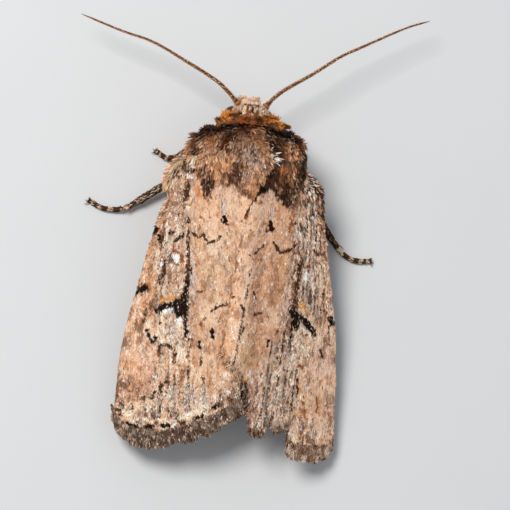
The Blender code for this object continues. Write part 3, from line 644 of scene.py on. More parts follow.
# Brushes between the feelers: centre from the head's middle, reach, way, strands, splay, length, width, tints, lift
BROW_BRUSHES = (
    ((-0.04, 5.02, 2.95), (0.34, 0.12, 0.12), (0.0, 1.0, 0.1), 150, 0.9, 0.44, 0.10, "warm", "pale_buff", 4),
    ((-0.04, 5.02, 2.95), (0.34, 0.12, 0.12), (0.0, 1.0, 0.1), 110, 0.9, 0.32, 0.10, "warm", "cream", 4),
    ((0.0, 4.97, 3.05), (0.40, 0.06, 0.05), (0.0, 1.0, 0.2), 120, 0.4, 0.16, 0.06, "umber", "brown", 10),
    ((-0.05, 5.10, 3.08), (0.34, 0.05, 0.03), (0.0, 1.0, 0.3), 70, 0.5, 0.14, 0.06, "cream", "white", 14),
)

# Brushes in front of each palp: height, distance forward, length, tint at the root and the tip
PALP_BRUSHES = (
    (1.72, 5.26, 0.26, "umber", "tawny"),
    (2.05, 5.46, 0.26, "brown", "pale_buff"),
    (2.40, 5.42, 0.22, "warm", "cream"),
)


# ---------------------------------------------------------------- small tools
def random_for(seed, side="left"):
    """Random numbers of a part's own, the next seed for the right side."""
    return np.random.default_rng(seed + SIDES.index(side))


def smooth(x):
    """A share from 0 to 1 that starts and ends gently."""
    x = np.clip(x, 0.0, 1.0)
    return x * x * (3 - 2 * x)


def bell(x):
    """A bump of height 1 round 0."""
    return np.exp(-x ** 2)


def along(table, at):
    """Values of a table of (station, value), with straight runs between."""
    stations, values = np.array(table, float).T
    return np.interp(at, stations, values)


def slope(function, at, step=0.1):
    """How fast a function grows at some places."""
    return (function(at + step) - function(at - step)) / (2 * step)


def unit(vectors):
    return vectors / np.maximum(np.linalg.norm(vectors, axis=-1, keepdims=True), 1e-12)


def flattened(vectors, normal):
    """The part of each direction that lies in its surface."""
    return vectors - normal * (vectors * normal).sum(1)[:, None]


def turned(lie, normal, angle):
    """Directions turned about the normal."""
    aside = np.cross(normal, lie)
    return lie * np.cos(angle)[:, None] + aside * np.sin(angle)[:, None]


def mix(low, high, share):
    return low + (high - low) * np.asarray(share)[..., None]


def layered(base, *layers):
    """A colour with others laid over it in turn, each by its share from 0 to 1."""
    tints = TINT[base] if isinstance(base, str) else base
    for name, share in layers:
        tints = mix(tints, TINT[name], share)
    return tints


def plain(name, count):
    """One tint for each of a number of points."""
    return np.tile(TINT[name], (count, 1))


def uneven(tints, spread, random):
    """The same tints, each a little lighter or darker."""
    return tints * random.normal(1.0, spread, len(tints))[:, None]


def noise(a, b, seed):
    """Smooth noise from 0 to 1 over a plane, one cell to the unit."""
    table = np.random.default_rng(seed).random((64, 64))
    column, row = np.floor(a).astype(int), np.floor(b).astype(int)
    s, t = smooth(a - column), smooth(b - row)
    near = table[column % 64, row % 64] * (1 - s) + table[(column + 1) % 64, row % 64] * s
    far = table[column % 64, (row + 1) % 64] * (1 - s) + table[(column + 1) % 64, (row + 1) % 64] * s
    return near * (1 - t) + far * t


def ripple(at, seed):
    """Smooth noise from -0.5 to 0.5 along a line."""
    return noise(at, at * 0, seed) - 0.5


def patches(across, back, seed, share):
    """Ragged patches that cover about a share of the surface: 1 inside, 0 outside."""
    field = 0.62 * noise(across, back, seed) + 0.38 * noise(across * 2.7, back * 2.3, seed + 100)
    return smooth((field - 0.5 - 0.62 * (0.5 - share)) / 0.16 + 0.5)


def mottle(across, back, seed):
    """Uneven tone from about -1 to 1, with coarse, middle and fine grain."""
    coarse, middle, fine = (noise(across * k, back * k, seed + k) for k in (1, 2, 4))
    return 2.4 * (0.42 * coarse + 0.34 * middle + 0.24 * fine - 0.5)


def distance_to_path(points, path):
    """Distance of points in a plane from a path through a few stations."""
    path = np.array(path, float)
    best = np.linalg.norm(points - path[0], axis=1)
    for start, end in zip(path, path[1:]):
        step = end - start
        share = np.clip((points - start) @ step / (step @ step), 0, 1)
        best = np.minimum(best, np.linalg.norm(points - start - share[:, None] * step, axis=1))
    return best


def paint_marks(tints, points, marks, random):
    """Colours a mark's share of the scales on its path: dark marks are brown and broken towards their edge."""
    ragged = noise(points[:, 0] * 8.0, points[:, 1] * 7.0, 7) - 0.5
    broken = 0.7 * noise(points[:, 0] * 7.5, points[:, 1] * 6.5, 8) + 0.3 * random.random(len(points))
    for name, half_width, strength, path in marks:
        far = distance_to_path(points, path) + (0.03 + 0.8 * half_width) * ragged
        share = strength * smooth((1.75 * half_width - far) / (1.3 * half_width))
        near = np.where(share > 0.02)[0]
        amount = smooth((share[near] - 0.9 * broken[near]) / 0.3 + 0.35)
        core = smooth((share[near] - 0.35) / 0.35)
        colour = layered(SOFT_EDGE.get(name, name), (name, core)) * random.normal(1.0, 0.15, (len(near), 1))
        tints[near] = mix(tints[near], colour, amount)


def moth_origin():
    """Where the moth's own frame lies in the model: its eyes sit at known places."""
    middle = sum((np.array(corner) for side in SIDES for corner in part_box("eye_" + side)), np.zeros(3)) / 4
    return middle - np.array((HEAD_ASIDE, EYE_PLACE[1], EYE_PLACE[2])) * MM


ORIGIN = moth_origin()


def to_model(points):
    return np.asarray(points, float) * MM + ORIGIN


def to_moth(points):
    return (np.asarray(points, float) - ORIGIN) / MM


# ---------------------------------------------------------------- materials
def new_material(name, build, roughness, specular):
    made = bpy.data.materials.new(name)
    made.use_nodes = True
    shader = made.node_tree.nodes["Principled BSDF"]
    shader.inputs["Roughness"].default_value = roughness
    shader.inputs["Specular IOR Level"].default_value = specular
    build(made.node_tree, shader)
    return made


def add_node(tree, kind, values=(), links=(), **settings):
    """A shader node with its settings, its inputs' values and the outputs that feed it."""
    made = tree.nodes.new("ShaderNode" + kind)
    for name, value in settings.items():
        setattr(made, name, value)
    for name, value in dict(values).items():
        made.inputs[name].default_value = value
    for name, source in dict(links).items():
        tree.links.new(source, made.inputs[name])
    return made


def pattern(tree, kind, per_mm, **values):
    """A pattern fixed to the object, with so many cells to the millimetre."""
    place_at = add_node(tree, "TexCoord").outputs["Object"]
    return add_node(tree, kind, {"Scale": per_mm / MM, **values}, {"Vector": place_at})


def add_bump(tree, shader, height, height_mm, strength, invert=False):
    bump = add_node(tree, "Bump", {"Strength": strength, "Distance": height_mm * MM}, {"Height": height}, invert=invert)
    tree.links.new(bump.outputs["Normal"], shader.inputs["Normal"])


def two_tones(tree, shader, share, tones, places=(0.0, 1.0)):
    """Base colour from one tone to another by a pattern."""
    ramp = add_node(tree, "ValToRGB", links={"Fac": share})
    for element, tone, place_at in zip(ramp.color_ramp.elements, tones, places):
        element.position = place_at
        element.color = (*linear(tone), 1)
    tree.links.new(ramp.outputs["Color"], shader.inputs["Base Color"])


def coated(per_mm, height_mm, spread):
    """A coat whose colour comes from its scales, with a fine mottling and grain."""

    def build(tree, shader):
        grain = pattern(tree, "TexNoise", per_mm, Detail=3.0).outputs["Fac"]
        add_bump(tree, shader, grain, height_mm, 0.5)
        tint = add_node(tree, "Attribute", attribute_name="tint").outputs["Color"]
        tone = add_node(tree, "MapRange", {"To Min": 1.0 - spread, "To Max": 1.0 + spread}, {"Value": grain})
        scaled = add_node(tree, "VectorMath", links={"Vector": tint, "Scale": tone.outputs["Result"]},
                          operation="SCALE")
        tree.links.new(scaled.outputs["Vector"], shader.inputs["Base Color"])

    return build


def lens(tree, shader):
    """A dark compound eye: fine facets and a mottled brown depth."""
    facets = pattern(tree, "TexVoronoi", 16.0)
    depth = pattern(tree, "TexNoise", 2.2, Detail=3.0)
    two_tones(tree, shader, depth.outputs["Fac"], EYE_TONES, (0.36, 0.66))
    add_bump(tree, shader, facets.outputs["Distance"], 0.012, 0.5, invert=True)


def floor_paint(tree, shader):
    """The pale floor: plain, with the faintest unevenness."""
    grain = pattern(tree, "TexNoise", 0.15, Detail=3.0).outputs["Fac"]
    add_bump(tree, shader, grain, 0.05, 0.05)
    two_tones(tree, shader, grain, FLOOR_TONES)


MATERIALS = {slot: new_material(name, coated(*grain), *gloss) for slot, (name, grain, gloss) in COATINGS.items()}
MATERIALS["eye_lens"] = new_material("eye", lens, 0.22, 0.22)


# ---------------------------------------------------------------- meshes
def mesh_piece(name, points, face_sets, tints, slot, uv=None):
    """A piece from arrays: points in the moth's frame, faces of one size to a set, a tint to each point."""
    points = np.column_stack([points[:, :2], np.maximum(points[:, 2], ABOVE_GROUND)])
    mesh = bpy.data.meshes.new(name)
    mesh.vertices.add(len(points))
    mesh.vertices.foreach_set("co", to_model(points).astype(np.float32).ravel())
    corners = np.concatenate([faces.ravel() for faces in face_sets]).astype(np.int32)
    sizes = np.concatenate([np.full(len(faces), faces.shape[1]) for faces in face_sets])
    starts = np.concatenate([[0], np.cumsum(sizes)[:-1]]).astype(np.int32)
    mesh.loops.add(len(corners))
    mesh.loops.foreach_set("vertex_index", corners)
    mesh.polygons.add(len(sizes))
    mesh.polygons.foreach_set("loop_start", starts)
    mesh.polygons.foreach_set("use_smooth", np.ones(len(sizes), bool))
    mesh.update(calc_edges=True)
    add_tint(mesh, tints)
    if uv is not None:
        mesh.uv_layers.new(name="OFBake").data.foreach_set("uv", uv[corners].astype(np.float32).ravel())
    return place(name, mesh, slot)


def add_tint(mesh, tints):
    layer = mesh.color_attributes.new("tint", "FLOAT_COLOR", "POINT")
    layer.data.foreach_set("color", np.column_stack([tints, np.ones(len(tints))]).astype(np.float32).ravel())


def linked(name, data):
    made = bpy.data.objects.new(name, data)
    bpy.context.scene.collection.objects.link(made)
    return made


def place(name, mesh, slot):
    made = linked(name, mesh)
    mesh.materials.append(MATERIALS[slot])
    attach(made, "root")
    return made


def read(items, name, width, number=np.float32):
    """One property of all items of a mesh, a row to each."""
    values = np.empty(len(items) * width, number)
    items.foreach_get(name, values)
    return values.reshape(-1, width)


def tube(centres, radius, sides, beside=None, widen=1.0):
    """A skin round a line of centres, turned square to a direction: points, faces and the frame along it."""
    tangent = unit(np.gradient(centres, axis=0))
    aside = np.tile((1.0, 0.0, 0.0), (len(centres), 1)) if beside is None else unit(np.cross(tangent, beside))
    upward = np.cross(aside, tangent)
    turn = np.linspace(0, 2 * math.pi, sides, endpoint=False)[None, :, None]
    circle = widen * np.cos(turn) * aside[:, None] + np.sin(turn) * upward[:, None]
    points = (centres[:, None] + circle * np.reshape(radius, (-1, 1, 1))).reshape(-1, 3)
    index = np.arange(len(points)).reshape(-1, sides)
    following = np.roll(index, -1, 1)
    quads = np.stack([index[:-1], following[:-1], following[1:], index[1:]], -1).reshape(-1, 4)
    return points, quads, (tangent, aside, upward)


def ball(centre, radius, subdivisions):
    """Points and triangles of an egg shape."""
    shape = bmesh.new()
    bmesh.ops.create_icosphere(shape, subdivisions=subdivisions, radius=1.0)
    points = np.array([vertex.co for vertex in shape.verts])
    faces = np.array([[vertex.index for vertex in face.verts] for face in shape.faces])
    shape.free()
    return np.array(centre) + points * np.array(radius), faces


class Coat:
    """Scales and hairs gathered into one piece: ribbons that taper by a profile of (reach, width)."""

    def __init__(self, name, slot, random):
        self.name, self.slot, self.random = name, slot, random
        self.points, self.tints, self.uvs, self.quads, self.tris = [], [], [], [], []
        self.count = 0

    def drawn(self, value, total):
        """A column of values, drawn at random where only their middle and spread are given."""
        value = self.random.normal(*value, total) if isinstance(value, tuple) else value
        return np.broadcast_to(value, total)[:, None]

    def add(self, root, lie, normal, length, width, lift, profile, tint, root_uv, roll=0.0, droop=0.0,
            tip_tint=None, root_shade=0.75, tip_shade=1.0):
        """Ribbons from their roots; length, width, lift (degrees) and roll may be a middle and a spread."""
        total = len(root)
        length, width = self.drawn(length, total), self.drawn(width, total)
        lift = np.radians(self.drawn(lift, total))
        roll = self.drawn(roll, total)
        lie = unit(flattened(lie, normal))
        across = np.cross(lie, normal) * np.cos(roll) + normal * np.sin(roll)
        points, tints, uvs, rows = [], [], [], []
        for reach, wide in profile:
            angle = lift * (1 - droop * reach)
            centre = root + length * reach * (lie * np.cos(angle) + normal * np.sin(angle))
            colour = tint if tip_tint is None else mix(tint, tip_tint, smooth((reach - 0.45) / 0.4))
            # The colour darkens towards the root by root_shade, a painted shade deep in the coat, and a tip_shade above
            # 1 lightens the tip, a painted highlight.
            colour = colour * (root_shade + (tip_shade - root_shade) * reach)
            hands = (-0.5, 0.5) if wide else (0.0,)
            rows.append([len(points) + k for k in range(len(hands))])
            for hand in hands:
                points.append(centre + across * width * wide * hand)
                tints.append(colour)
                uvs.append(root_uv + PATCH * np.array((hand * wide, reach - 0.5)))
        first = self.count + np.arange(total)[:, None] * len(points)
        for near, far in zip(rows, rows[1:]):
            face = first + np.array(near + far[::-1])
            (self.quads if len(near) == len(far) == 2 else self.tris).append(face)
        self.points.append(np.stack(points, 1).reshape(-1, 3))
        self.tints.append(np.stack(tints, 1).reshape(-1, 3))
        self.uvs.append(np.stack(uvs, 1).reshape(-1, 2))
        self.count += total * len(points)

    def make(self):
        sets = [np.concatenate(group) for group in (self.quads, self.tris) if group]
        mesh_piece(self.name, np.concatenate(self.points), sets, np.clip(np.concatenate(self.tints), 0, 1), self.slot,
                   np.concatenate(self.uvs))


class Tufts:
    """Groups strands round seeds among them, so that each group leans together and shares a colour."""

    def __init__(self, at, each, random):
        seeds = random.choice(len(at), max(len(at) // each, 1), replace=False)
        tree = KDTree(len(seeds))
        for k, seed in enumerate(seeds):
            tree.insert(at[seed], k)
        tree.balance()
        self.at, self.seed_of = at, seeds[[tree.find(point)[1] for point in at]]

    def gather(self, lie, normal, length, lift, hold):
        """Each strand's way, length and lift (degrees) when its tip is drawn towards its group's tip by a share."""
        lie, lift = unit(flattened(lie, normal)), np.radians(lift)
        own = self.at + length[:, None] * (lie * np.cos(lift)[:, None] + normal * np.sin(lift)[:, None])
        reach = own + hold * (own[self.seed_of] - own) - self.at
        size = np.linalg.norm(reach, axis=1)
        up = (reach * normal).sum(1) / np.maximum(size, 1e-9)
        lift = np.degrees(np.arcsin(np.clip(up, -0.3, 1)))
        return unit(flattened(reach, normal)), np.clip(size, 0.4 * length, 1.4 * length), lift


# ---------------------------------------------------------------- wing shape
ROOF_U = np.linspace(0.0, 10.5, 1051)
ROOF_SLOPE = SHOULDER_SLOPE * (1 - np.exp(-ROOF_U / SHOULDER_ROUND)) + EDGE_SLOPE * (ROOF_U / EDGE_REACH) ** 1.5
ROOF_STEP = ROOF_U[1] - ROOF_U[0]
ROOF_REACH = np.cumsum(np.cos(ROOF_SLOPE)) * ROOF_STEP - ROOF_STEP
ROOF_DROP = np.cumsum(np.sin(ROOF_SLOPE)) * ROOF_STEP


def ridge_p(side, q):
    """How far out from the inner margin the wing crosses the ridge of the roof."""
    return INNER_PAST[side] + INNER_SPREAD[side] * (q - MID_Q)


def roof_reach(u):
    """Distance from the ridge, seen from above, at arc length u out from it."""
    return np.where(u <= 0, u, np.interp(u, ROOF_U, ROOF_REACH))


def roof_top(side, u):
    """Height of a closed wing against the ridge, at arc length u out from it."""
    if side == "right":
        over = LAP_RISE * (1 - smooth((u - 0.2) / 1.1)) - LAP_TUCK * smooth(-u / 0.75)
    else:
        beneath = LAP_RISE * np.where(u <= 0, 1 - smooth((-u - 0.2) / 1.1), 1 - smooth(u / 0.6))
        over = beneath - LAP_UNDER * (1 - smooth((u - 0.75) / 1.1))
    return over - np.interp(np.abs(u), ROOF_U, ROOF_DROP)


def costa(side, q):
    return along(SHOULDER[side] + COSTA, q) - along(COSTA_IN[side], q)


def vein_lane(side, p, q):
    """Distance out from the inner margin as the veins run: straight back, but beside the costa they follow it."""
    share = np.clip(p / costa(side, q), 0, 1)
    return p - (costa(side, q) - 8.0) * share ** 6


def relief(side, p, q):
    """Low folds between the veins."""
    lane = vein_lane(side, p, q)
    fold = -0.045 * bell((lane - 1.75) / 0.22) * smooth((9 - q) / 4)
    ribs = sum(0.03 * bell((lane - rib) / 0.16) for rib in RIBS)
    return fold + ribs + 0.03 * (noise(lane * 1.6, q * 0.35, 5) - 0.5)


def wing_place(side, p, q, below=0.0):
    """Where plan point (p, q) lies: p runs out from the inner margin, q back from the root."""
    u = p - ridge_p(side, q)
    share = (q - RIDGE_FRONT[0]) / (RIDGE_REAR[0] - RIDGE_FRONT[0])
    ridge = RIDGE_FRONT[1] + (RIDGE_REAR[1] - RIDGE_FRONT[1]) * share
    z = ridge + roof_top(side, u) + relief(side, p, q) - SEAM_DIP - below
    return np.stack([SIDE_SIGN[side] * roof_reach(u), -(q + WING_SHIFT[side]) + 0 * u, z], -1)


def wing_frame(side, p, q, below=0.0):
    """Place, outward and rearward directions and normal at plan points."""
    outward = unit(slope(lambda at: wing_place(side, at, q, below), p, 0.02))
    rearward = unit(slope(lambda at: wing_place(side, p, at, below), q, 0.02))
    normal = unit(np.cross(outward, rearward))
    normal *= np.sign(normal[:, 2:])
    return wing_place(side, p, q, below), outward, rearward, normal


def outer_edge(side, p, fringe_past=0.0, torn_past=0.0):
    """Where the wing ends; the right one is torn."""
    whole = along(MARGIN[side], p) - fringe_past
    if side == "right":
        return np.where(p < TEAR_END_P, np.minimum(whole, along(TEAR, p) - torn_past), whole)
    return whole


def membrane_edge(side, p):
    """Where the membrane ends, a little inside the fringe; a torn edge keeps almost all of it."""
    return outer_edge(side, p, FRINGE_PAST, TORN_PAST)


def root(side, share):
    return ROOT_Q[side] + ROOT_SWEEP * (1 - share)


def on_membrane(side, p, q, inset=0.0):
    inner = along(INNER_EDGE[side], q)
    share = (p - inner) / (costa(side, q) - inner)
    return (share > 0) & (share < 1) & (q > root(side, share)) & (q < membrane_edge(side, p) - inset)


def covered(side, p, q):
    """Whether the left wing is hidden here under the right one."""
    p_over = ridge_p("right", q) - roof_reach(p - ridge_p(side, q))
    return (side == "left") & (p_over > 0.35) & (q < outer_edge("right", np.maximum(p_over, 0)) - 0.25)


def wing_uv(p, q):
    return np.stack([0.02 + 0.96 * p / 9.2, 0.02 + 0.96 * (q + 2.0) / 18.4], -1)


def sheet(name, side, p, q, below, thick, tints, slot):
    """A thin closed sheet through a grid of plan points, its two faces side by side on the unwrap."""
    rows, columns = p.shape
    count = rows * columns
    p, q = p.ravel(), q.ravel()
    index = np.arange(count).reshape(rows, columns)
    quads = np.stack([index[:-1, :-1], index[:-1, 1:], index[1:, 1:], index[1:, :-1]], -1).reshape(-1, 4)
    edge = np.concatenate([index[0], index[1:, -1], index[-1, -2::-1], index[-2:0:-1, 0]])
    rim = np.stack([edge, np.roll(edge, -1), np.roll(edge, -1) + count, edge + count], -1)
    points = np.concatenate([wing_place(side, p, q, below), wing_place(side, p, q, below + thick)])
    uv = wing_uv(p, q) * np.array((0.49, 1.0))
    return mesh_piece(name, points, [quads, quads[:, ::-1] + count, rim], np.concatenate(tints), slot,
                      np.concatenate([uv, uv + np.array((0.5, 0.0))]))


# ---------------------------------------------------------------- wing colours
def calmness(side, p, q):
    middle, reach = CALM[side]
    return bell((p - middle[0]) / reach[0]) * bell((q - middle[1]) / reach[1])


def roughness(side, p, q):
    """How mottled the wing is: calm near the inner margin and the root, rough along the costa and the outer part."""
    lane = vein_lane(side, p, q)
    first, calmer = ROUGH_FROM[side], CALMER_OUT[side]
    outer = smooth((q - 11.2 + 0.5 * np.abs(p - 3)) / 1.6)
    beside_costa = smooth((lane - first) / 1.0) * (1 - calmer * smooth((lane - 5.8) / 0.8))
    return 0.15 + 0.85 * np.maximum(beside_costa, outer) * (1 - 0.92 * calmness(side, p, q))


def wing_tint(side, p, q, random):
    """The colour of the scale at each plan point: broad tints, mottling and streaks along the veins, then marks."""
    lane = vein_lane(side, p, q)
    rough = roughness(side, p, q)
    still = 1 - 0.6 * calmness(side, p, q)
    tints = plain("buff", len(p))
    for name, strength, centre, reach in ZONES[side]:
        tints = layered(tints, (name, strength * bell((p - centre[0]) / reach[0]) * bell((q - centre[1]) / reach[1])))
    hue = mottle(lane * 1.7, q * 0.8, 230)
    tone = mottle(lane * 2.3, q * 1.15, 240) + 0.45 * (random.random(len(p)) - 0.5)
    tints = layered(
        tints,
        ("warm", (0.60 + 0.15 * rough) * smooth(hue / 0.7)),
        ("grey", (0.22 + 0.42 * rough) * still * smooth(-hue / 0.7)),
        ("pale_buff", (0.45 + 0.35 * rough) * smooth((tone - 0.05) / 0.6)),
        ("brown", (0.42 + 0.40 * rough) * still * smooth((-tone - 0.04) / 0.5)),
        ("cream", (0.1 + 0.75 * rough) * smooth((tone - 0.26) / 0.3)),
        ("plum", (0.1 + 0.85 * rough) * smooth((-tone - 0.26) / 0.28)),
    )
    for name, amount, across, back, seed, (calm_share, rough_share) in FLECKS:
        chance = patches(lane * across, q * back, seed, calm_share + (rough_share - calm_share) * rough)
        tints = layered(tints, (name, np.clip(amount * chance * random.uniform(0.5, 1.3, len(p)), 0, 1)))
    run = q * (0.8 + RUN_GROWS[side] * q)
    strand = lane + STRANDS_SLANT[side] * np.maximum(3.0 - q, 0.0)
    combed = smooth((lane - 3.3) / 0.5) * smooth((8.2 - q) / 1.5) * smooth((6.6 - lane) / 0.8)
    torn = smooth((lane - 2.1) / 0.6) * smooth((5.3 - lane) / 0.4) * smooth((q - 9.8) / 1.5)
    combed = np.maximum(combed, torn) if side == "right" else 0.35 * combed
    tints = layered(
        tints,
        ("pink", 0.85 * combed * patches(strand * 5.6 + 5, run, 18, 0.42)),
        ("plum", 0.90 * combed * patches(strand * 4.8, run, 17, 0.33)),
        ("umber", 0.90 * combed * patches(strand * 7.0, run * 1.4, 16, 0.24)),
        ("white", 0.65 * combed * patches(strand * 7.5, run * 1.6, 19, 0.13)),
    )
    for lane_at, first_q, last_q in VEINS[side]:
        far = np.abs(lane - lane_at + 0.06 * (noise(q * 1.5, q * 0 + lane_at, 26) - 0.5))
        shown = smooth((q - first_q) / 0.5) * smooth((last_q - q) / 0.5)
        tints = layered(tints, ("cream", 0.35 * bell((far - 0.15) / 0.07) * shown))
        dashed = patches(q * 2.4, q * 0 + lane_at * 9, 25, 0.5) * shown
        tints[random.random(len(p)) < 0.75 * dashed * bell(far / 0.07)] = TINT["umber"]
    paint_marks(tints, np.column_stack([p, q]), MARKS[side], random)
    wavy = FRINGE_BAND[side] + 0.12 * (noise(p * 4.0, q * 4.0, 15) - 0.5)
    band = smooth((q - along(MARGIN[side], p) + wavy) / 0.16 + 0.5)
    if side == "right":
        band = band * smooth((p - 4.9) / 0.4)
    return mix(tints, fringe_tint(side, p, q, random), band)


def fringe_tint(side, p, q, random):
    """Grey-brown fringe scales, chequered dark between the veins and flecked pale."""
    depth = (along(MARGIN[side], p) - q) / FRINGE_BAND[side]
    tone = mottle(p * 4.4, q * 4.4, 250) + 0.5 * (random.random(len(p)) - 0.5)
    tint = layered(
        "fringe",
        ("fringe_dark", 0.7 * patches(p * 2.3, q * 1.6, 51, 0.45)),
        ("fringe_pale", 0.65 * smooth((tone - 0.12) / 0.35)),
        ("umber", 0.9 * smooth((-tone - 0.15 + 0.1 * smooth((0.35 - depth) / 0.3)) / 0.35)),
    )
    if side == "right":
        tint = layered(tint, ("warm", 0.20), ("cream", 0.7 * patches(p * 4.6, q * 3.6, 56, 0.24)))
    stray = random.random(len(p))
    tint[stray < 0.03] = TINT["pink"]
    tint[stray > 0.95] = TINT["black"]
    return tint


# ---------------------------------------------------------------- forewings
def membrane(side):
    """The wing itself, a thin sheet under the scales, tinted as they are but darker, a painted shade under them."""
    p_end = np.linspace(0, LAST_P, WING_GRID[0])
    if side == "right":
        p_end = np.sort(np.concatenate([p_end, [p for p, _ in TEAR]]))
    share = p_end / along(COSTA, along(MARGIN[side], p_end))
    q_root = root(side, share)
    q = q_root + (membrane_edge(side, p_end) - q_root) * np.linspace(0, 1, WING_GRID[1])[:, None]
    inner = along(INNER_EDGE[side], q)
    p = inner + share * (costa(side, q) - inner)
    # Painted shade: the upper face has the scales' tints darkened to 0.8.
    above = wing_tint(side, p.ravel(), q.ravel(), random_for(31)) * 0.8
    under = layered("under", ("under_dark", smooth((q.ravel() - 9) / 6)))
    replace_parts(sheet("membrane_" + side, side, p, q, 0.0, MEMBRANE, (above, under), "wing_scales"), "forewing_" + side)


def wing_scales(side):
    """Shingled scales over the upper face, longer near the root, some of them ruffled."""
    random = random_for(41, side)
    pitch = SCALE_PITCH / math.sqrt(DETAIL)
    p, q = np.meshgrid(np.arange(0, 9.1, pitch), np.arange(-1.6, 16.2, pitch))
    p = p.ravel() + random.uniform(-0.5, 0.5, p.size) * pitch
    q = q.ravel() + random.uniform(-0.5, 0.5, q.size) * pitch
    shown = on_membrane(side, p, q, 0.05) & ~covered(side, p, q)
    p, q = p[shown], q[shown]
    at, outward, rearward, normal = wing_frame(side, p, q)
    fan = -slope(lambda back: vein_lane(side, p, back), q)
    if side == "right":
        fan = fan + 0.4 * smooth((3.2 - q) / 2.0) * smooth((p - 3.3) / 0.6)
    count = len(p)
    rough = roughness(side, p, q)
    ruffle = patches(p * 2.4, q * 1.1, 21, 0.3) * rough
    lie = turned(unit(rearward + outward * fan[:, None]), normal, random.normal(0, 0.15 + 0.15 * ruffle, count))
    near_root = smooth((2.6 - q) / 2.6)
    length = random.normal(0.18, 0.028, count) * (1 + 0.8 * near_root + 0.25 * ruffle)
    width = random.normal(0.066, 0.010, count) * (1 - 0.25 * near_root)
    lift = random.normal(8, 3, count) + 4 * rough + 8 * ruffle + 8 * near_root
    tint = uneven(wing_tint(side, p, q + 0.5 * length, random), 0.09 + 0.10 * rough, random)
    # A few scales at random are cream, painted glints of light, and a few are umber, dark flecks.
    glint_and_fleck = random.random(count)
    tint = layered(tint, ("cream", 0.6 * (glint_and_fleck < 0.07 * rough)), ("umber", 0.6 * (glint_and_fleck > 1 - 0.07 * rough)))
    roll = random.normal(0, 0.12 + 0.14 * rough, count) - SCALE_ROLL[side] * smooth((p - 4.8) / 2.6)
    coat = Coat("wing_coat_" + side, "wing_scales", random)
    # Painted shade at each scale's root and a painted highlight at its tip.
    coat.add(at - normal * 0.01, lie, normal, length, width, lift, SCALE, tint, wing_uv(p, q), roll, droop=0.35,
             root_shade=0.80, tip_shade=1.06)
    coat.make()


def fringe(side):
    """Overlapping rows of longer scales out to the ragged outer margin, with the scales of the other edges."""
    random = random_for(61, side)
    coat = Coat("fringe_" + side, "wing_scales", random)
    start = {"left": 0.0, "right": TEAR_END_P}[side]
    per_row = int(1200 * DETAIL * (LAST_P - start) / LAST_P)
    for row, reach in enumerate(FRINGE_ROWS):
        outermost = max(row - 6, 0)
        p = random.uniform(start, 8.88, per_row)
        length = random.normal(0.30 if outermost else 0.19, 0.035, per_row) + 0.10 * ripple(p * 5.1, 73)
        q = along(MARGIN[side], p) + reach - (0.34 if outermost else 0.2) + 0.14 * ripple(p * 2.6, 74)
        q = q + (0.24 * ripple(p * 6.5, 76) if outermost else 0)
        at, outward, rearward, normal = wing_frame(side, p, q)
        slant = slope(lambda out: along(MARGIN[side], out), p)
        splay = np.clip(-0.3 * slant, -0.3, 0.35) + 0.5 * ripple(p * 3.3, 71) + random.normal(0, 0.22, per_row)
        tint = uneven(fringe_tint(side, p, q + 0.2, random), 0.14, random)
        coat.add(at - normal * 0.012 * outermost, unit(rearward + outward * splay[:, None]), normal, length,
                 (0.085, 0.015), (14, 8), HAIR if outermost else SCALE, tint, wing_uv(p, q), (0, 0.4), droop=0.6,
                 root_shade=0.85)
    edge_scales(coat, side, random)
    under_side(coat, side, random)
    shoulder(coat, side, random)
    coat.make()


def edge_scales(coat, side, random):
    """Scales that close the leading edge and any torn edge."""
    count = int(3600 * DETAIL)
    q = random.uniform(root(side, 1.0), outer_edge(side, LAST_P) - 0.15, count)
    p = costa(side, q) - random.uniform(0.04, 0.2, count)
    at, outward, rearward, normal = wing_frame(side, p, q, MEMBRANE * 0.5)
    fan = slope(lambda back: costa(side, back), q) + 0.05
    lie = turned(unit(rearward + outward * fan[:, None]), normal, random.normal(0, 0.1, count))
    tint = wing_tint(side, p, q, random)
    coat.add(at + outward * 0.02, lie, unit(normal * 0.75 + outward * 0.65), (0.26, 0.04), (0.075, 0.012), (9, 5),
             SCALE, tint, wing_uv(p, q), (0, 0.3))
    if side == "left":
        return
    torn = int(4200 * DETAIL)
    p = random.uniform(0.0, TEAR_END_P, torn)
    back = random.uniform(0.0, 0.55, torn)
    q = outer_edge(side, p) - 0.08 - back + 0.25 * ripple(p * 4.0, 75)
    slant = np.clip(slope(lambda out: outer_edge(side, out), p, 0.06), -1.2, 1.2)
    at, outward, rearward, normal = wing_frame(side, p, q)
    lie = turned(unit(rearward - outward * (0.35 * slant)[:, None]), normal, random.normal(0, 0.28, torn))
    tint = wing_tint(side, p, q, random)
    tips = smooth((0.45 - back) / 0.3) * smooth((p - 1.2) / 0.5)
    tint = mix(tint, fringe_tint(side, p, q, random), 0.85 * tips)
    tint[(random.random(torn) < 0.25) & (back < 0.4)] = TINT["umber"]
    coat.add(at, lie, normal, (0.27, 0.06), (0.07, 0.012), (8, 9), HAIR, tint, wing_uv(p, q), (0, 0.5))


def under_side(coat, side, random):
    """Sparser, plainer scales under the wing."""
    count = int(9000 * DETAIL)
    p, q = random.uniform(0, 9.0, count), random.uniform(-1.0, 15.0, count)
    inside = on_membrane(side, p, q)
    p, q = p[inside], q[inside]
    at, _, rearward, normal = wing_frame(side, p, q, MEMBRANE)
    tint = uneven(layered("under", ("under_dark", smooth((q - 10) / 4))), 0.12, random)
    coat.add(at, turned(rearward, normal, random.normal(0, 0.15, len(p))), -normal, (0.3, 0.03), (0.13, 0.02), (7, 3),
             SCALE, tint, wing_uv(p, q))


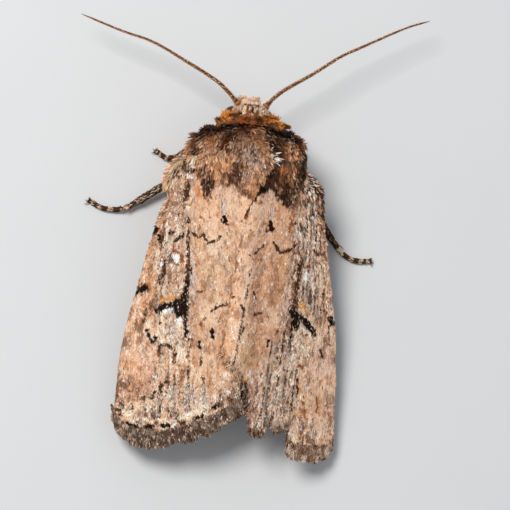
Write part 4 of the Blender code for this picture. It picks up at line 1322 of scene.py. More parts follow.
def shoulder(coat, side, random):
    """A ragged brush of long scales over the costal root, combed back and outwards."""
    total = int(1700 * DETAIL)
    q = random.uniform(-1.5, SHOULDER_TO_Q[side], total)
    p = costa(side, q) - 0.05 - random.uniform(0.0, 1.0, total) ** 1.3 * 1.35
    at, outward, rearward, normal = wing_frame(side, p, q)
    lean = smooth(1 - (costa(side, q) - p) / 1.2)
    length = random.normal(0.58, 0.10, total) * (0.60 + 0.40 * lean)
    tuft = Tufts(at, 26, random)
    tint = layered(
        "khaki",
        ("cream", 0.6 * patches(p * 4.0, q * 1.2, 57, 0.4)),
        ("warm", 0.7 * patches(p * 4.0 + 5, q * 1.2, 67, 0.35)),
        ("pink", 0.6 * (side == "right") * patches(p * 5.0, q * 1.1, 58, 0.5)),
        ("umber", 0.9 * patches(p * 5.5 + 3, q * 1.0, 59, SHOULDER_DARK[side])),
    )
    paint_marks(tint, np.column_stack([p, q]), MARKS[side], random)
    tint = tint[tuft.seed_of]
    tint[random.random(total) < 0.16] = TINT["umber"]
    tint = uneven(tint, 0.14, random)
    lie, length, lift = tuft.gather(unit(rearward + outward * (0.10 + 0.32 * lean)[:, None]), normal, length,
                                    random.normal(10, 4, total), 0.3)
    coat.add(at, lie, normal, length, (0.060, 0.012), lift, HAIR, tint, wing_uv(p, q), (0, 0.3),
             tip_tint=tint * 1.08, root_shade=0.6)


# ---------------------------------------------------------------- hindwings
def hindwing(side):
    """Thin pleated sheet folded under the forewing, scaled below, with a pale fringe."""
    random = random_for(81, side)
    inner, last = HIND_INNER[side], HIND_MARGIN[-1][0]

    def plan(share, grow):
        """Plan points and pleats at shares of the way along the margin and back from the root."""
        q = HIND_ROOT_Q + (along(HIND_MARGIN, inner + share * (last - inner)) - HIND_FRINGE - HIND_ROOT_Q) * grow
        u = inner + share * (along(HIND_OUTER, q) - inner)
        return u + ridge_p(side, q), q, HIND_BELOW + HIND_PLEAT * np.sin(share * 34) * smooth((q - 1) / 3)

    share = np.linspace(0, 1, HIND_GRID[0])
    p, q, below = plan(share, np.linspace(0, 1, HIND_GRID[1])[:, None])
    tone = layered("under", ("under_dark", smooth((q.ravel() - 7) / 5)))
    tone[np.abs(np.sin(np.broadcast_to(share, p.shape).ravel() * 17)) < 0.14] = TINT["brown"]
    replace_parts(sheet("hind_membrane_" + side, side, p, q, below.ravel(), HIND_THICK, (tone * 0.9, tone * 0.9),
                      "under_scales"), "hindwing_" + side)

    coat = Coat("hind_coat_" + side, "under_scales", random)
    total = int(9000 * DETAIL)
    grow = random.uniform(0, 1, total)
    p, q, below = plan(random.uniform(0, 1, total), grow)
    _, _, rearward, normal = wing_frame(side, p, q)
    tint = uneven(layered("under", ("under_dark", smooth((q - 7) / 5))), 0.12, random)
    coat.add(wing_place(side, p, q, below + HIND_THICK), turned(rearward, normal, random.normal(0, 0.15, total)),
             -normal, (0.3, 0.03), (0.12, 0.02), (8, 3), SCALE, tint, wing_uv(p, q))
    total = int(2600 * DETAIL)
    end = random.uniform(inner, last, total)
    q = along(HIND_MARGIN, end) - random.uniform(0.45, 0.6, total)
    p = end + ridge_p(side, q)
    _, _, rearward, normal = wing_frame(side, p, q)
    tint = uneven(plain("cream", total) * 0.85, 0.1, random)
    coat.add(wing_place(side, p, q, HIND_BELOW + 0.5 * HIND_THICK),
             turned(rearward, normal, random.normal(0, 0.12, total)), normal, (0.5, 0.05), (0.07, 0.01), (0, 3), HAIR,
             tint, wing_uv(p, q))
    coat.make()


# ---------------------------------------------------------------- skin
def kind_of(node):
    return next(kind for kind in KINDS if kind in node)


def node_triangles(node):
    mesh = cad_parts[node].data
    mesh.calc_loop_triangles()
    matrix = np.array(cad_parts[node].matrix_world)
    points = read(mesh.vertices, "co", 3) @ matrix[:3, :3].T + matrix[:3, 3]
    return to_moth(points), read(mesh.loop_triangles, "vertices", 3, np.int32)


def welded(points, faces):
    """Points that coincide made one, so that the surface has whole normals."""
    _, first, index = np.unique(np.round(points, 3), axis=0, return_index=True, return_inverse=True)
    faces = index.reshape(-1)[faces]
    whole = (faces[:, 0] != faces[:, 1]) & (faces[:, 1] != faces[:, 2]) & (faces[:, 0] != faces[:, 2])
    return points[first], faces[whole]


def body_skin():
    """One skin through every node of flesh and the waist, drawn in by the depth of the coat."""
    shells, swollen, faces, owner, count = [], [], [], [], 0
    for node in FLESH:
        points, own = welded(*node_triangles(node))
        corners = points[own]
        area = np.cross(corners[:, 1] - corners[:, 0], corners[:, 2] - corners[:, 0])
        normal = np.zeros_like(points)
        for k in range(3):
            np.add.at(normal, own[:, k], area)
        shells.append(points)
        swollen.append(points + unit(normal) * SKIN_SWELL * (kind_of(node) != "palp"))
        faces.append(own + count)
        owner += [KINDS.index(kind_of(node))] * len(own)
        count += len(points)
    waist, waist_faces = ball(WAIST, WAIST_RADIUS, 3)
    mesh = bpy.data.meshes.new("body_skin")
    mesh.from_pydata(np.concatenate(swollen + [waist]).tolist(), [],
                     np.concatenate(faces + [waist_faces + count]).tolist())
    rough = linked("skin_source", mesh)
    remesh = rough.modifiers.new("One skin", "REMESH")
    remesh.mode = "VOXEL"
    remesh.voxel_size = SKIN_VOXEL
    relax = rough.modifiers.new("Relax", "SMOOTH")
    relax.factor = 0.5
    relax.iterations = 6
    bpy.context.view_layer.update()
    skin = bpy.data.meshes.new_from_object(rough.evaluated_get(bpy.context.evaluated_depsgraph_get()))
    bpy.data.objects.remove(rough, do_unlink=True)
    points, normals = (read(skin.vertices, name, 3).astype(float) for name in ("co", "normal"))
    tree = BVHTree.FromPolygons(np.concatenate(shells).tolist(), np.concatenate(faces).tolist())
    kind = np.array([owner[tree.find_nearest(Vector(point))[2]] for point in points])
    depth = spread_over(skin, np.array([DEPTH[name] for name in KINDS])[kind] + SKIN_SWELL, 6)
    points = points - normals * depth[:, None]
    skin.vertices.foreach_set("co", to_model(points).astype(np.float32).ravel())
    skin.update()
    return skin, points, kind


def spread_over(mesh, values, rounds):
    """Values on the points of a mesh, evened out with their neighbours."""
    a, b = read(mesh.edges, "vertices", 2, np.int32).T
    degree = np.bincount(np.concatenate([a, b]), minlength=len(values)).astype(float)
    for _ in range(rounds):
        total = np.bincount(a, values[b], len(values)) + np.bincount(b, values[a], len(values))
        values = (values + total / np.maximum(degree, 1)) / 2
    return values


def unwrap(made):
    bpy.context.view_layer.objects.active = made
    made.select_set(True)
    made.data.uv_layers.new(name="OFBake")
    bpy.ops.object.mode_set(mode="EDIT")
    bpy.ops.mesh.select_all(action="SELECT")
    bpy.ops.uv.smart_project(angle_limit=math.radians(66), island_margin=0.003)
    bpy.ops.object.mode_set(mode="OBJECT")
    made.select_set(False)


class Skin:
    """The body's skin as triangles, with its unwrap and the kind of part under each point."""

    def __init__(self, random):
        mesh, self.points, self.kind = body_skin()
        made = place("body_skin", mesh, "body_wool")
        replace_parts(made, *FLESH)
        unwrap(made)
        self.axes = limb_axes()
        # Painted shade: the skin takes the coat's tints darkened to 0.7, deep under the coat.
        add_tint(mesh, body_tint(self.points, self.kind, random) * 0.7)
        mesh.polygons.foreach_set("use_smooth", np.ones(len(mesh.polygons), bool))
        mesh.calc_loop_triangles()
        self.normals = read(mesh.vertices, "normal", 3)
        self.faces = read(mesh.loop_triangles, "vertices", 3, np.int32)
        loops = read(mesh.loop_triangles, "loops", 3, np.int32)
        self.uv = read(mesh.uv_layers["OFBake"].data, "uv", 2)[loops]
        self.tree = BVHTree.FromPolygons(self.points.tolist(), self.faces.tolist())

    def sample(self, per_mm2, kinds, random):
        """Random places over some kinds of part: place, normal, kind and place on the unwrap."""
        wanted = np.isin(self.kind[self.faces[:, 0]], [KINDS.index(name) for name in kinds])
        faces, uv = self.faces[wanted], self.uv[wanted]
        corners = self.points[faces]
        area = np.linalg.norm(np.cross(corners[:, 1] - corners[:, 0], corners[:, 2] - corners[:, 0]), axis=1) / 2
        count = int(area.sum() * per_mm2 * DETAIL)
        chosen = np.searchsorted(np.cumsum(area), random.uniform(0, area.sum(), count))
        chosen = np.minimum(chosen, len(faces) - 1)
        a, b = random.random(count), random.random(count)
        flip = a + b > 1
        a[flip], b[flip] = 1 - a[flip], 1 - b[flip]
        weights = np.stack([1 - a - b, a, b], -1)[..., None]
        at = (corners[chosen] * weights).sum(1)
        normal = unit((self.normals[faces[chosen]] * weights).sum(1))
        return at, normal, self.kind[faces[chosen, 0]], (uv[chosen] * weights).sum(1)

    def uv_at(self, at):
        """The place on the unwrap that is nearest to each root of hairs set beside the skin."""
        found = [self.tree.find_nearest(Vector(place_at)) for place_at in at]
        on_skin, chosen = np.array([hit[0] for hit in found]), np.array([hit[2] for hit in found])
        corner, first, second = self.points[self.faces[chosen]].transpose(1, 0, 2)
        first, second, offset = first - corner, second - corner, on_skin - corner
        aa, ab, bb = (first * first).sum(1), (first * second).sum(1), (second * second).sum(1)
        oa, ob = (offset * first).sum(1), (offset * second).sum(1)
        area = np.maximum(aa * bb - ab * ab, 1e-12)
        b, c = (bb * oa - ab * ob) / area, (aa * ob - ab * oa) / area
        weights = np.stack([1 - b - c, b, c], -1)[..., None]
        return (self.uv[chosen] * weights).sum(1)

    def nearest_limb(self, points, nodes):
        """For each point, the limb it lies on: direction and how far along."""
        best = np.full(len(points), np.inf)
        direction, share = np.zeros_like(points), np.zeros(len(points))
        for node in nodes:
            start, axis, length = self.axes[node]
            t = np.clip((points - start) @ axis, 0, length)
            far = np.linalg.norm(points - start - t[:, None] * axis, axis=1)
            closer = far < best
            best[closer] = far[closer]
            direction[closer] = axis
            share[closer] = (t / length)[closer]
        return direction, share


def limb_axes():
    """Each limb node's start, direction away from the body and length."""
    axes = {}
    for node in LEG_NODES + ["palp_left", "palp_right"]:
        points, _ = node_triangles(node)
        middle = points.mean(0)
        axis = np.linalg.svd(points - middle)[2][0]
        hub = np.array((0.0, 4.2, 1.0)) if "palp" in node else np.array((0.0, 1.2, 1.4))
        if "tarsus" in node or "tibia" in node:
            hub = np.array((0.0, {"fore": 3.0, "mid": 0.8, "hind": -1.4}[node.split("_")[0]], 1.4))
        if axis @ (middle - hub) < 0:
            axis = -axis
        reach = (points - middle) @ axis
        axes[node] = (middle + axis * reach.min(), axis, reach.max() - reach.min())
    return axes


def body_tint(points, kind, random):
    """Colour of skin and coat by part, with the marks of thorax, collar and tegulae as seen from above."""
    x, y, z = points.T
    name = np.array(KINDS)[kind]
    from_middle = np.abs(x - HEAD_ASIDE)
    tints = plain("under", len(points))
    top = np.isin(name, ("thorax", "collar", "tegula"))
    front = smooth((y - 1.6) / 1.4)
    upper = layered("tan", ("brown", 0.35 + 0.5 * front), ("lilac", 0.30 * patches(x * 2.0, y * 2.0, 265, 0.4)))
    paint_marks(upper, np.column_stack([x, y]), BODY_MARKS, random)
    tone = mottle(x * 2.2, y * 1.7, 260) + 0.5 * (random.random(len(points)) - 0.5)
    tone = tone * np.where(name == "collar", 0.75, 1.0)
    upper = layered(upper, ("umber", (0.75 + 0.15 * front) * smooth((-tone - 0.10) / 0.4)))
    pale = (0.50 - 0.1 * front) * smooth((tone - 0.22) / 0.4) * (upper[:, 1] > 0.05)
    upper = layered(upper, ("pale_buff", pale), ("brown", 0.85 * smooth((2.6 - z) / 1.2)))
    upper = upper * (1 + 0.45 * mottle(x * 4.5, y * 3.0, 270))[:, None]
    tints[top] = upper[top]
    palp = name == "palp"
    crown = layered(
        "ruff_dark",
        ("umber", patches(x * 6.0, y * 5.0, 261, 0.5)),
        ("blush", 0.9 * patches(x * 8.0, y * 5.0, 264, 0.28)),
    )
    socket = smooth((from_middle - 0.36) / 0.15) * patches(x * 5.0, y * 4.0, 262, 0.8)
    crown = mix(crown, mix(TINT["pale_buff"], TINT["cream"], 0.4), socket)
    crown = layered(
        crown,
        ("cream", smooth((y - 4.98) / 0.12)),
        ("umber", bell((y - 5.05) / 0.10) * patches(x * 6.0, y * 4.0, 263, 0.45)),
        ("brown", 0.75 * smooth((1.9 - z) / 0.8)),
    )
    crown = mix(crown, mix(TINT["brown"], TINT["tan"], 0.4), 0.7 * smooth((2.75 - z) / 0.3) * (name == "head"))
    crown = layered(
        crown,
        ("tawny", 0.55 * smooth((2.35 - z) / 0.5) * palp),
        ("brown", 0.85 * smooth((from_middle - 0.50) / 0.14) * palp),
        # Painted shade: the dark line down the cleft between the palps.
        ("umber", 0.9 * bell(from_middle / 0.09) * palp * (z < 2.7)),
        ("umber", 0.55 * palp * patches(x * 7.0, z * 6.0, 267, 0.3)),
    )
    face = palp | (name == "head")
    tints[face] = crown[face]
    tints[np.isin(name, LEG_PARTS)] = TINT["leg"]
    return tints


def abdomen_tint(at, zone, random):
    """Grey-buff fur with a darker band to each segment."""
    band = smooth(np.cos(at[:, 1] * 2 * math.pi / 1.25) * 2 - 1)
    return layered("under", ("under_dark", 0.6 * band + 0.3 * smooth(at[:, 2] - 2)))


# ---------------------------------------------------------------- coat of the body
def skin_coat(coat, skin, kinds, lie_of, length_of, random, tone=body_tint, root_shade=0.32):
    """A coat over some kinds of part, gathered in tufts that lie the way lie_of gives."""
    per_mm2, width, lift, each, hold, jitter = COVER[kinds[0]]
    at, normal, zone, uv = skin.sample(per_mm2, kinds, random)
    count = len(at)
    tuft = Tufts(at, each, random)
    lie = turned(unit(lie_of(at, zone)), normal, random.normal(0, jitter, count)[tuft.seed_of])
    size = length_of(at) * random.normal(1, 0.14, count)
    rise = random.normal(lift, 0.3 * lift, count)[tuft.seed_of] + random.normal(0, 4, count)
    lie, size, rise = tuft.gather(lie, normal, size, rise, hold)
    tint = tone(at, zone, random)
    tint = np.where((random.random(count) < 0.6)[:, None], tint[tuft.seed_of], tint)
    stray = random.random(count) * (tone is body_tint)
    pale = np.where(zone == KINDS.index("collar"), 0.15, 0.55)
    tint = layered(tint, ("umber", 0.75 * ((stray > 0.0) & (stray < 0.11))), ("cream", pale * (stray > 0.93)))
    tint = uneven(tint, 0.23, random)
    # root_shade darkens each strand towards its root: painted shade deep in the coat.
    coat.add(at - normal * 0.03, lie, normal, size, (width, 0.15 * width), rise, HAIR, tint, uv, (0, 0.4), droop=0.2,
             tip_tint=tint * 1.22, root_shade=root_shade)


def mantle(coat, skin, random):
    """Wool that spreads from the thorax over the roots of the wings."""
    total = int(6000 * DETAIL)
    x, y = random.uniform(-2.9, 3.0, total), random.uniform(-1.0, 1.5, total)
    keep = y > along(MANTLE_REAR, x) + 0.22
    x, y = x[keep], y[keep]
    total = len(x)
    at, normal = np.zeros((total, 3)), np.zeros((total, 3))
    for side in SIDES:
        mine = (x < 0) == (side == "left")
        q = -y[mine] - WING_SHIFT[side]
        at[mine], _, _, normal[mine] = wing_frame(side, np.abs(x[mine]) * 1.01 + ridge_p(side, q), q)
    lie = turned(np.tile((0.0, -1.0, 0.0), (total, 1)), normal, random.normal(0, 0.2, total) - 0.12 * x)
    tuft = Tufts(at, 14, random)
    tint = uneven(body_tint(at, np.full(total, KINDS.index("thorax")), random)[tuft.seed_of], 0.12, random)
    length = random.normal(0.42, 0.06, total)
    lie, length, lift = tuft.gather(lie, normal, length, random.normal(17, 5, total), 0.4)
    coat.add(at + normal * 0.02, lie, normal, length, (0.065, 0.01), lift, HAIR, tint, skin.uv_at(at), (0, 0.4),
             tip_tint=tint * 1.22, root_shade=0.4)


def white_tuft(coat, skin, random):
    """Hairs with white tips fanned out behind the right collar."""
    count = int(56 * DETAIL)
    x, y = random.normal(0.84, 0.17, count), random.normal(1.62, 0.17, count)
    at = np.column_stack([x, y, np.full(count, 5.33) - 0.12 * (x - 0.2) ** 2])
    fan = 1.0 * (y - 1.75) + random.normal(0, 0.28, count)
    lie = np.column_stack([np.ones(count), fan, np.zeros(count)])
    normal = unit(np.tile((0.15, 0.0, 1.0), (count, 1)))
    tint = uneven(plain("tan", count), 0.15, random)
    tip = np.where((random.random(count) < 0.8)[:, None], TINT["white"] * 1.3, TINT["umber"])
    coat.add(at, lie, normal, (0.52, 0.10), 0.065, (24, 8), HAIR, tint, skin.uv_at(at), droop=0.5, tip_tint=tip,
             root_shade=0.5)


def brush(coat, skin, random, centre, reach, way, count, splay, length, width, tint, tip_tint, lift):
    """One brush of scales from a small oval patch."""
    count = int(count * DETAIL)
    spot = random.normal(0, 0.5, (count, 3)).clip(-1, 1)
    at = np.array(centre) + spot * np.array(reach)
    way = unit(np.array(way, float))
    lie = unit(way + spot * splay + random.normal(0, 0.10, (count, 3)))
    normal = unit(np.array((0.0, 0.0, 1.0)) + 0.5 * spot * splay - way * way[2])
    tint, tip = (uneven(np.tile(colour, (count, 1)), 0.12, random) for colour in (tint, tip_tint))
    coat.add(at, lie, normal, (length, 0.13 * length), (width, 0.15 * width), (lift, 6), HAIR, tint, skin.uv_at(at),
             (0, 0.4), droop=0.5, tip_tint=tip, root_shade=0.7)


def eye_rims(coat, skin, random):
    """Short scales that lean over the edge of each eye all round."""
    for side in SIDES:
        out = SIDE_SIGN[side]
        count = int(420 * DETAIL)
        turn = random.uniform(0, 2 * math.pi, count)
        ring = np.column_stack([np.zeros(count), np.cos(turn), np.sin(turn)])
        inward = random.uniform(0.10, 0.26, count)
        at = eye_centre(side) + ring * np.array(EYE_RADIUS) * 0.96
        at[:, 0] -= out * inward
        lie = np.tile((out, 0.0, 0.0), (count, 1)) + 0.25 * ring + random.normal(0, 0.12, (count, 3))
        tint = layered("brown", ("umber", smooth((inward - 0.16) / 0.06)))
        tip = layered(tint, ("pale_buff", 0.7 * (random.random(count) < 0.5)))
        coat.add(at, lie, ring, (0.24, 0.03), 0.055, (14, 6), HAIR, tint, skin.uv_at(at), droop=0.9, tip_tint=tip,
                 root_shade=0.7)


def face_coat(skin, random):
    """Short scales of head and palps, the pale brow, the tufts beside the sockets and the palps' brushes."""

    def over_face(at, zone):
        palp_way, _ = skin.nearest_limb(at, ("palp_left", "palp_right"))
        forward = np.column_stack([0.3 * (at[:, 0] - HEAD_ASIDE), np.ones(len(at)), 0.5 * np.ones(len(at))])
        return np.where((zone == KINDS.index("palp"))[:, None], palp_way, unit(forward))

    coat = Coat("face_coat", "face_scales", random)
    skin_coat(coat, skin, ("head", "palp"), over_face, lambda at: 0.24, random, root_shade=0.65)
    for (aside, y, z), reach, way, count, splay, length, width, tint, tip, lift in BROW_BRUSHES:
        brush(coat, skin, random, (HEAD_ASIDE + aside, y, z), reach, way, count, splay, length, width, TINT[tint],
              TINT[tip], lift)
    for side in SIDES:
        out = SIDE_SIGN[side]
        brush(coat, skin, random, (HEAD_ASIDE + out * 0.74, 4.62, 2.98), (0.20, 0.28, 0.08), (out * 0.25, 1.0, 0.15),
              230, 0.35, 0.36, 0.07, TINT["brown"], mix(TINT["tan"], TINT["cream"], 0.6), 14)
    eye_rims(coat, skin, random)
    for side in SIDES:
        out = SIDE_SIGN[side]
        for height, forward, length, tint, tip in PALP_BRUSHES:
            brush(coat, skin, random, (HEAD_ASIDE + out * 0.40, forward, height), (0.17, 0.12, 0.16),
                  (out * 0.12, 0.75, 0.65), 150, 0.7, length, 0.065, TINT[tint], TINT[tip], 10)
        brush(coat, skin, random, (HEAD_ASIDE + out * 0.32, 5.38, 2.66), (0.10, 0.09, 0.10), (out * 0.05, 0.45, 0.9),
              160, 0.3, 0.18, 0.06, TINT["blush"] * 0.85, TINT["cream"], 5)
    coat.make()


def collar_coat(skin, random):
    """The ruff of the collar, the long hair of the tegulae and the brushes beside them."""

    def ruffed(at, zone):
        aside = smooth(np.abs(at[:, 0] - 0.28) / 1.2)[:, None]
        collar = np.column_stack([at[:, 0] - 0.28, at[:, 1] - 3.2, 0.3 * np.ones(len(at))])
        swept = np.column_stack([0.30 * np.sign(at[:, 0]), -np.ones(len(at)), 0.05 * np.ones(len(at))])
        back = np.tile((0.0, -1.0, 0.3), (len(at), 1))
        return np.where((zone == KINDS.index("collar"))[:, None], back + (unit(collar) - back) * aside, swept)

    coat = Coat("collar_wool", "collar_scales", random)
    skin_coat(coat, skin, ("collar",), ruffed, lambda at: 0.27, random)
    skin_coat(coat, skin, ("tegula",), ruffed, lambda at: 0.46, random)
    for out, centre, reach, shade in RUFF_BRUSHES:
        brush(coat, skin, random, centre, (reach, 0.22, 0.16), (out * 0.35, 0.9, 0.05), 330, 0.8, 0.30, 0.07,
              TINT["ruff"] * 0.85 * shade, TINT["ruff"] * 0.92 * shade, 12)
    for centre, reach, way, tint, tip, count, length in SHOULDER_TUFTS:
        brush(coat, skin, random, centre, reach, way, count, 0.55, length, 0.06, TINT[tint], TINT[tip], 12)
    coat.make()


def leg_coat(skin, random):
    """Flat scales down each leg, flecked and banded pale, shaggy on the right middle shin."""
    at, normal, zone, uv = skin.sample(420, LEG_PARTS, random)
    count = len(at)
    tint = uneven(plain("leg", count), 0.2, random)
    lie, length = np.zeros((count, 3)), np.zeros(count)
    for part, size in zip(LEG_PARTS, (0.24, 0.19, 0.15)):
        mine = zone == KINDS.index(part)
        lie[mine], share = skin.nearest_limb(at[mine], [node for node in LEG_NODES if part in node])
        length[mine] = size
        if part == "tarsus":
            pale = np.min([np.abs(share - ring) / wide for ring, wide in TARSUS_RINGS], 0) < 1.0
        else:
            pale = (share > 0.94) | (random.random(mine.sum()) < np.where(at[mine][:, 0] < 0, 0.24, 0.05))
        spot = np.where(mine)[0][pale & (random.random(mine.sum()) < 0.92)]
        tint[spot] = uneven(plain("ring", len(spot)), 0.1, random)
    shaggy = smooth((at[:, 0] - 3.4) / 0.5) * smooth((5.4 - at[:, 0]) / 0.8) * smooth((at[:, 1] + 3.2) / 0.5)
    lie = turned(lie, normal, random.normal(0, 0.2, count))
    length = length * (1 + 0.9 * shaggy) * random.normal(1, 0.15, count)
    width = random.normal(0.05, 0.01, count)
    coat = Coat("leg_coat", "leg_scales", random)
    coat.add(at - normal * 0.01, lie, normal, length, width, random.normal(13, 6, count) + 22 * shaggy, BRISTLE, tint,
             uv, (0, 0.3), droop=0.4, root_shade=0.7)
    coat.make()


def body():
    random = random_for(101)
    skin = Skin(random)

    def swept_back(at, zone):
        return np.column_stack([0.10 * at[:, 0], -np.ones(len(at)), 0.1 * np.ones(len(at))])

    wool = Coat("thorax_wool", "body_wool", random)
    skin_coat(wool, skin, ("thorax",), swept_back, lambda at: 0.36, random)
    mantle(wool, skin, random)
    white_tuft(wool, skin, random)
    wool.make()
    collar_coat(skin, random)
    face_coat(skin, random)
    fur = Coat("abdomen_fur", "under_scales", random)
    skin_coat(fur, skin, ("abdomen",), lambda at, zone: np.tile((0.0, -1.0, 0.0), (len(at), 1)),
              lambda at: 0.4 + 0.2 * smooth((-9.0 - at[:, 1]) / 2), random, abdomen_tint, 0.65)
    fur.make()
    leg_coat(skin, random)
    claws_and_spurs(skin.axes)
    tongue()


# ---------------------------------------------------------------- claws, spurs, tongue, eyes and feelers
def horns(name, spikes):
    """Curved spikes of one kind as one piece: each has its start, way, bend, length and radius."""
    steps = np.linspace(0, 1, HORN_STEPS)[:, None]
    points, quads = [], []
    for k, (start, way, bend, length, radius) in enumerate(spikes):
        centres = np.array(start) + length * (steps * unit(np.array(way, float)) + steps ** 2 * np.array(bend, float))
        own, faces, _ = tube(centres, radius * (1.02 - steps) ** 0.7, HORN_SIDES, (0.31, 0.23, 0.92))
        points.append(own)
        quads.append(faces + k * len(own))
    shade = np.tile(np.repeat(steps, HORN_SIDES), len(spikes))
    mesh_piece(name, np.concatenate(points), [np.concatenate(quads)], layered("horn", ("horn_dark", 0.3 + 0.7 * shade)),
               "antenna_horn")


def claws_and_spurs(axes):
    """Two claws on each foot and the spurs at the ends of the middle and hind shins."""
    claws, spurs = [], []
    for node in LEG_NODES:
        start, axis, length = axes[node]
        aside = unit(np.cross(axis, (0.0, 0.0, 1.0)))
        if "tarsus" in node:
            foot = start + axis * length - 0.05 * axis
            foot[2] = max(foot[2], 0.16)
            for hand in (-1.0, 1.0):
                claws.append((foot + hand * 0.07 * aside, axis + hand * 0.45 * aside + (0.0, 0.0, 0.15),
                              (0.0, 0.0, -0.42), 0.18, 0.030))
        elif "tibia" in node and "fore" not in node:
            for share in (0.93,) if "mid" in node else (0.93, 0.6):
                for hand, size in ((-1.0, 0.55), (1.0, 0.42)):
                    root_at = start + axis * length * share + hand * 0.10 * aside
                    spurs.append((root_at, axis + hand * 0.5 * aside, hand * -0.2 * aside, size, 0.045))
    horns("claws", claws)
    horns("spurs", spurs)


def tongue():
    """The coiled tongue between the palps."""
    low, high = np.array([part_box("palp_" + side) for side in SIDES]).transpose(1, 0, 2)
    low, high = to_moth(low.min(0)), to_moth(high.max(0))
    centre = np.array(((low[0] + high[0]) / 2, 0.55 * low[1] + 0.45 * high[1], low[2] + 0.16))
    t = np.linspace(0, 1, TONGUE_STEPS)[:, None]
    turn = 0.6 * math.pi - t * 4.4 * math.pi
    reach = 0.27 - 0.20 * t
    centres = centre + np.concatenate([0 * t, reach * np.cos(turn), reach * np.sin(turn)], 1)
    ring = np.sin(t * 150)
    points, quads, _ = tube(centres, (0.052 - 0.03 * t) * (1 + 0.07 * ring), TONGUE_SIDES, widen=1.5)
    shade = np.repeat(0.25 + 0.5 * (ring < 0), TONGUE_SIDES)
    mesh_piece("tongue", points, [quads], layered("horn", ("horn_dark", shade)), "antenna_horn")


def eye_centre(side):
    return np.array((HEAD_ASIDE + SIDE_SIGN[side] * EYE_PLACE[0], EYE_PLACE[1] - EYE_BACK, EYE_PLACE[2]))


def eye(side):
    """A smooth domed eye."""
    points, faces = ball(eye_centre(side), EYE_RADIUS, 5)
    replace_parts(mesh_piece("eye_lens_" + side, points, [faces], plain("black", len(points)), "eye_lens"), "eye_" + side)


def spline(points, count):
    """Even steps along a smooth curve through a few points."""
    points = np.array(points, float)
    padded = np.concatenate([[2 * points[0] - points[1]], points, [2 * points[-1] - points[-2]]])
    t = np.linspace(0, 1, 40, endpoint=False)[:, None]
    fine = []
    for k in range(len(points) - 1):
        a, b, c, d = padded[k:k + 4]
        bend, twist = 2 * a - 5 * b + 4 * c - d, 3 * b - a - 3 * c + d
        fine.append(0.5 * (2 * b + (c - a) * t + bend * t ** 2 + twist * t ** 3))
    fine = np.concatenate(fine + [points[-1:]])
    length = np.concatenate([[0], np.cumsum(np.linalg.norm(np.diff(fine, axis=0), axis=1))])
    even = np.linspace(0, length[-1], count)
    return np.stack([np.interp(even, length, fine[:, k]) for k in range(3)], -1)


def antenna(side):
    """A ringed thread on a swollen socket, dark above and between its golden scales, with short cilia."""
    random = random_for(131, side)
    steps = ANTENNA_RINGS * 4 + 1
    centres = spline(ANTENNA[side], steps)
    t = np.linspace(0, 1, steps)
    ring = np.abs(np.sin(t * ANTENNA_RINGS * math.pi))
    radius = ANTENNA_BASE_RADIUS + (ANTENNA_TIP_RADIUS - ANTENNA_BASE_RADIUS) * t ** 0.9
    radius = radius * (0.84 + 0.20 * ring) * np.minimum(1, 0.25 + 12 * (1 - t)) + 0.11 * bell(t / 0.02)
    points, quads, (tangent, aside, upward) = tube(centres, radius, ANTENNA_SIDES, (0.0, 0.0, 1.0))
    tints = np.repeat(layered("horn", ("horn_dark", 0.85 * (1 - ring) + 0.15)), ANTENNA_SIDES, 0)
    uv = np.stack([np.tile(np.arange(ANTENNA_SIDES) / ANTENNA_SIDES, steps), np.repeat(t, ANTENNA_SIDES)], -1)
    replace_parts(mesh_piece("feeler_" + side, points, [quads], tints, "antenna_horn", uv), "antenna_" + side)
    coat = Coat("feeler_coat_" + side, "antenna_horn", random)

    def add_row(count, angles, size, width, lift, profile, colours):
        """Short pieces all along, set round the thread at the given angles."""
        place_at = random.uniform(4, steps - 2, count)
        low = place_at.astype(int)
        angle = angles(count)
        normal = np.cos(angle)[:, None] * aside[low] + np.sin(angle)[:, None] * upward[low]
        at = centres[low] + (place_at - low)[:, None] * (centres[low + 1] - centres[low])
        taper = 0.5 + 0.5 * radius[low] / ANTENNA_BASE_RADIUS
        tint = uneven(colours(place_at, angle), 0.12, random)
        coat.add(at + normal * radius[low, None] * 0.95, tangent[low], normal,
                 size * taper * random.normal(1, 0.15, count), width * taper, (lift, 5), profile, tint,
                 np.column_stack([angle / (2 * math.pi) % 1, place_at / steps]))

    def golden(place_at, angle):
        node = np.abs(np.sin(place_at / (steps - 1) * ANTENNA_RINGS * math.pi))
        dark = (node < 0.45) | (np.abs(angle - math.pi / 2) < 0.42)
        tint = np.where(dark[:, None], TINT["horn_dark"], TINT["horn"])
        return np.where((random.random(len(angle)) < 0.10)[:, None], TINT["ring"], tint)

    add_row(int(3400 * DETAIL), lambda count: random.normal(math.pi / 2, 0.8, count), 0.10, 0.05, 8, SCALE, golden)
    add_row(int(2200 * DETAIL), lambda count: random.choice((-0.25, math.pi + 0.25), count)
            + random.normal(0, 0.3, count), 0.085, 0.02, 48, BRISTLE,
            lambda place_at, angle: plain("horn_dark", len(angle)))
    coat.make()


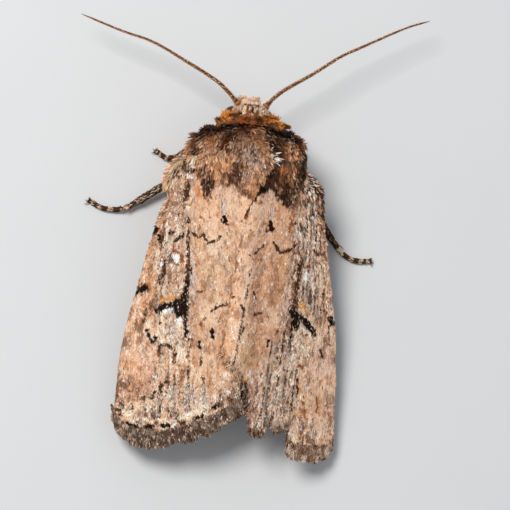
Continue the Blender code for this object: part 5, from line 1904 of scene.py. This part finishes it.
# ---------------------------------------------------------------- camera, light and floor
def view_axes():
    toward = np.array((-math.sin(TILT_SIDE) * math.cos(TILT_TAIL), -math.sin(TILT_TAIL),
                       math.cos(TILT_SIDE) * math.cos(TILT_TAIL)))
    up = unit(np.array((0.0, 1.0, 0.0)) - toward * toward[1])
    right = np.cross(up, toward)
    return (toward, math.cos(ROLL) * right - math.sin(ROLL) * up, math.sin(ROLL) * right + math.cos(ROLL) * up)


def stand(made, place_at, right, up, back):
    """Puts a camera or lamp at a place in the model, looking away from back."""
    made.matrix_world = Matrix([(right[k], up[k], back[k], place_at[k]) for k in range(3)] + [(0, 0, 0, 1)])


def stage():
    scene = bpy.context.scene
    toward, right, up = view_axes()
    aim = np.array(AIM) + OFF_CENTRE[0] * right + OFF_CENTRE[1] * up
    camera = bpy.data.cameras.new("camera")
    camera.sensor_width = SENSOR_MM
    camera.lens = SENSOR_MM * CAMERA_MM / FRAME_MM
    camera.clip_start = 0.01
    scene.camera = linked("camera", camera)
    stand(scene.camera, to_model(aim + toward * CAMERA_MM), right, up, toward)

    key = bpy.data.lights.new("key", "AREA")
    key.shape = "DISK"
    key.size = KEY_SIZE
    key.energy = KEY_WATTS
    key.color = KEY_COLOUR
    key_way = unit(toward + KEY_ASIDE * right + KEY_UP * up)
    across = unit(np.cross((0.0, 0.0, 1.0), key_way))
    stand(linked("key", key), to_model(AIM) + key_way * KEY_FAR, across, np.cross(key_way, across), key_way)

    scene.world = bpy.data.worlds.new("studio")
    scene.world.use_nodes = True
    sky = scene.world.node_tree.nodes["Background"]
    sky.inputs["Color"].default_value = SKY_COLOUR
    sky.inputs["Strength"].default_value = SKY_STRENGTH
    scene.view_settings.view_transform = "Standard"

    mesh = bpy.data.meshes.new("floor")
    corners = [(x * FLOOR_HALF, y * FLOOR_HALF, 0) for x, y in ((-1, -1), (1, -1), (1, 1), (-1, 1))]
    mesh.from_pydata(corners, [], [(0, 1, 2, 3)])
    mesh.materials.append(new_material("floor_paint", floor_paint, 0.6, 0.2))
    linked("floor", mesh)


stage()
for side in SIDES:
    membrane(side)
    wing_scales(side)
    fringe(side)
    hindwing(side)
    eye(side)
    antenna(side)
body()
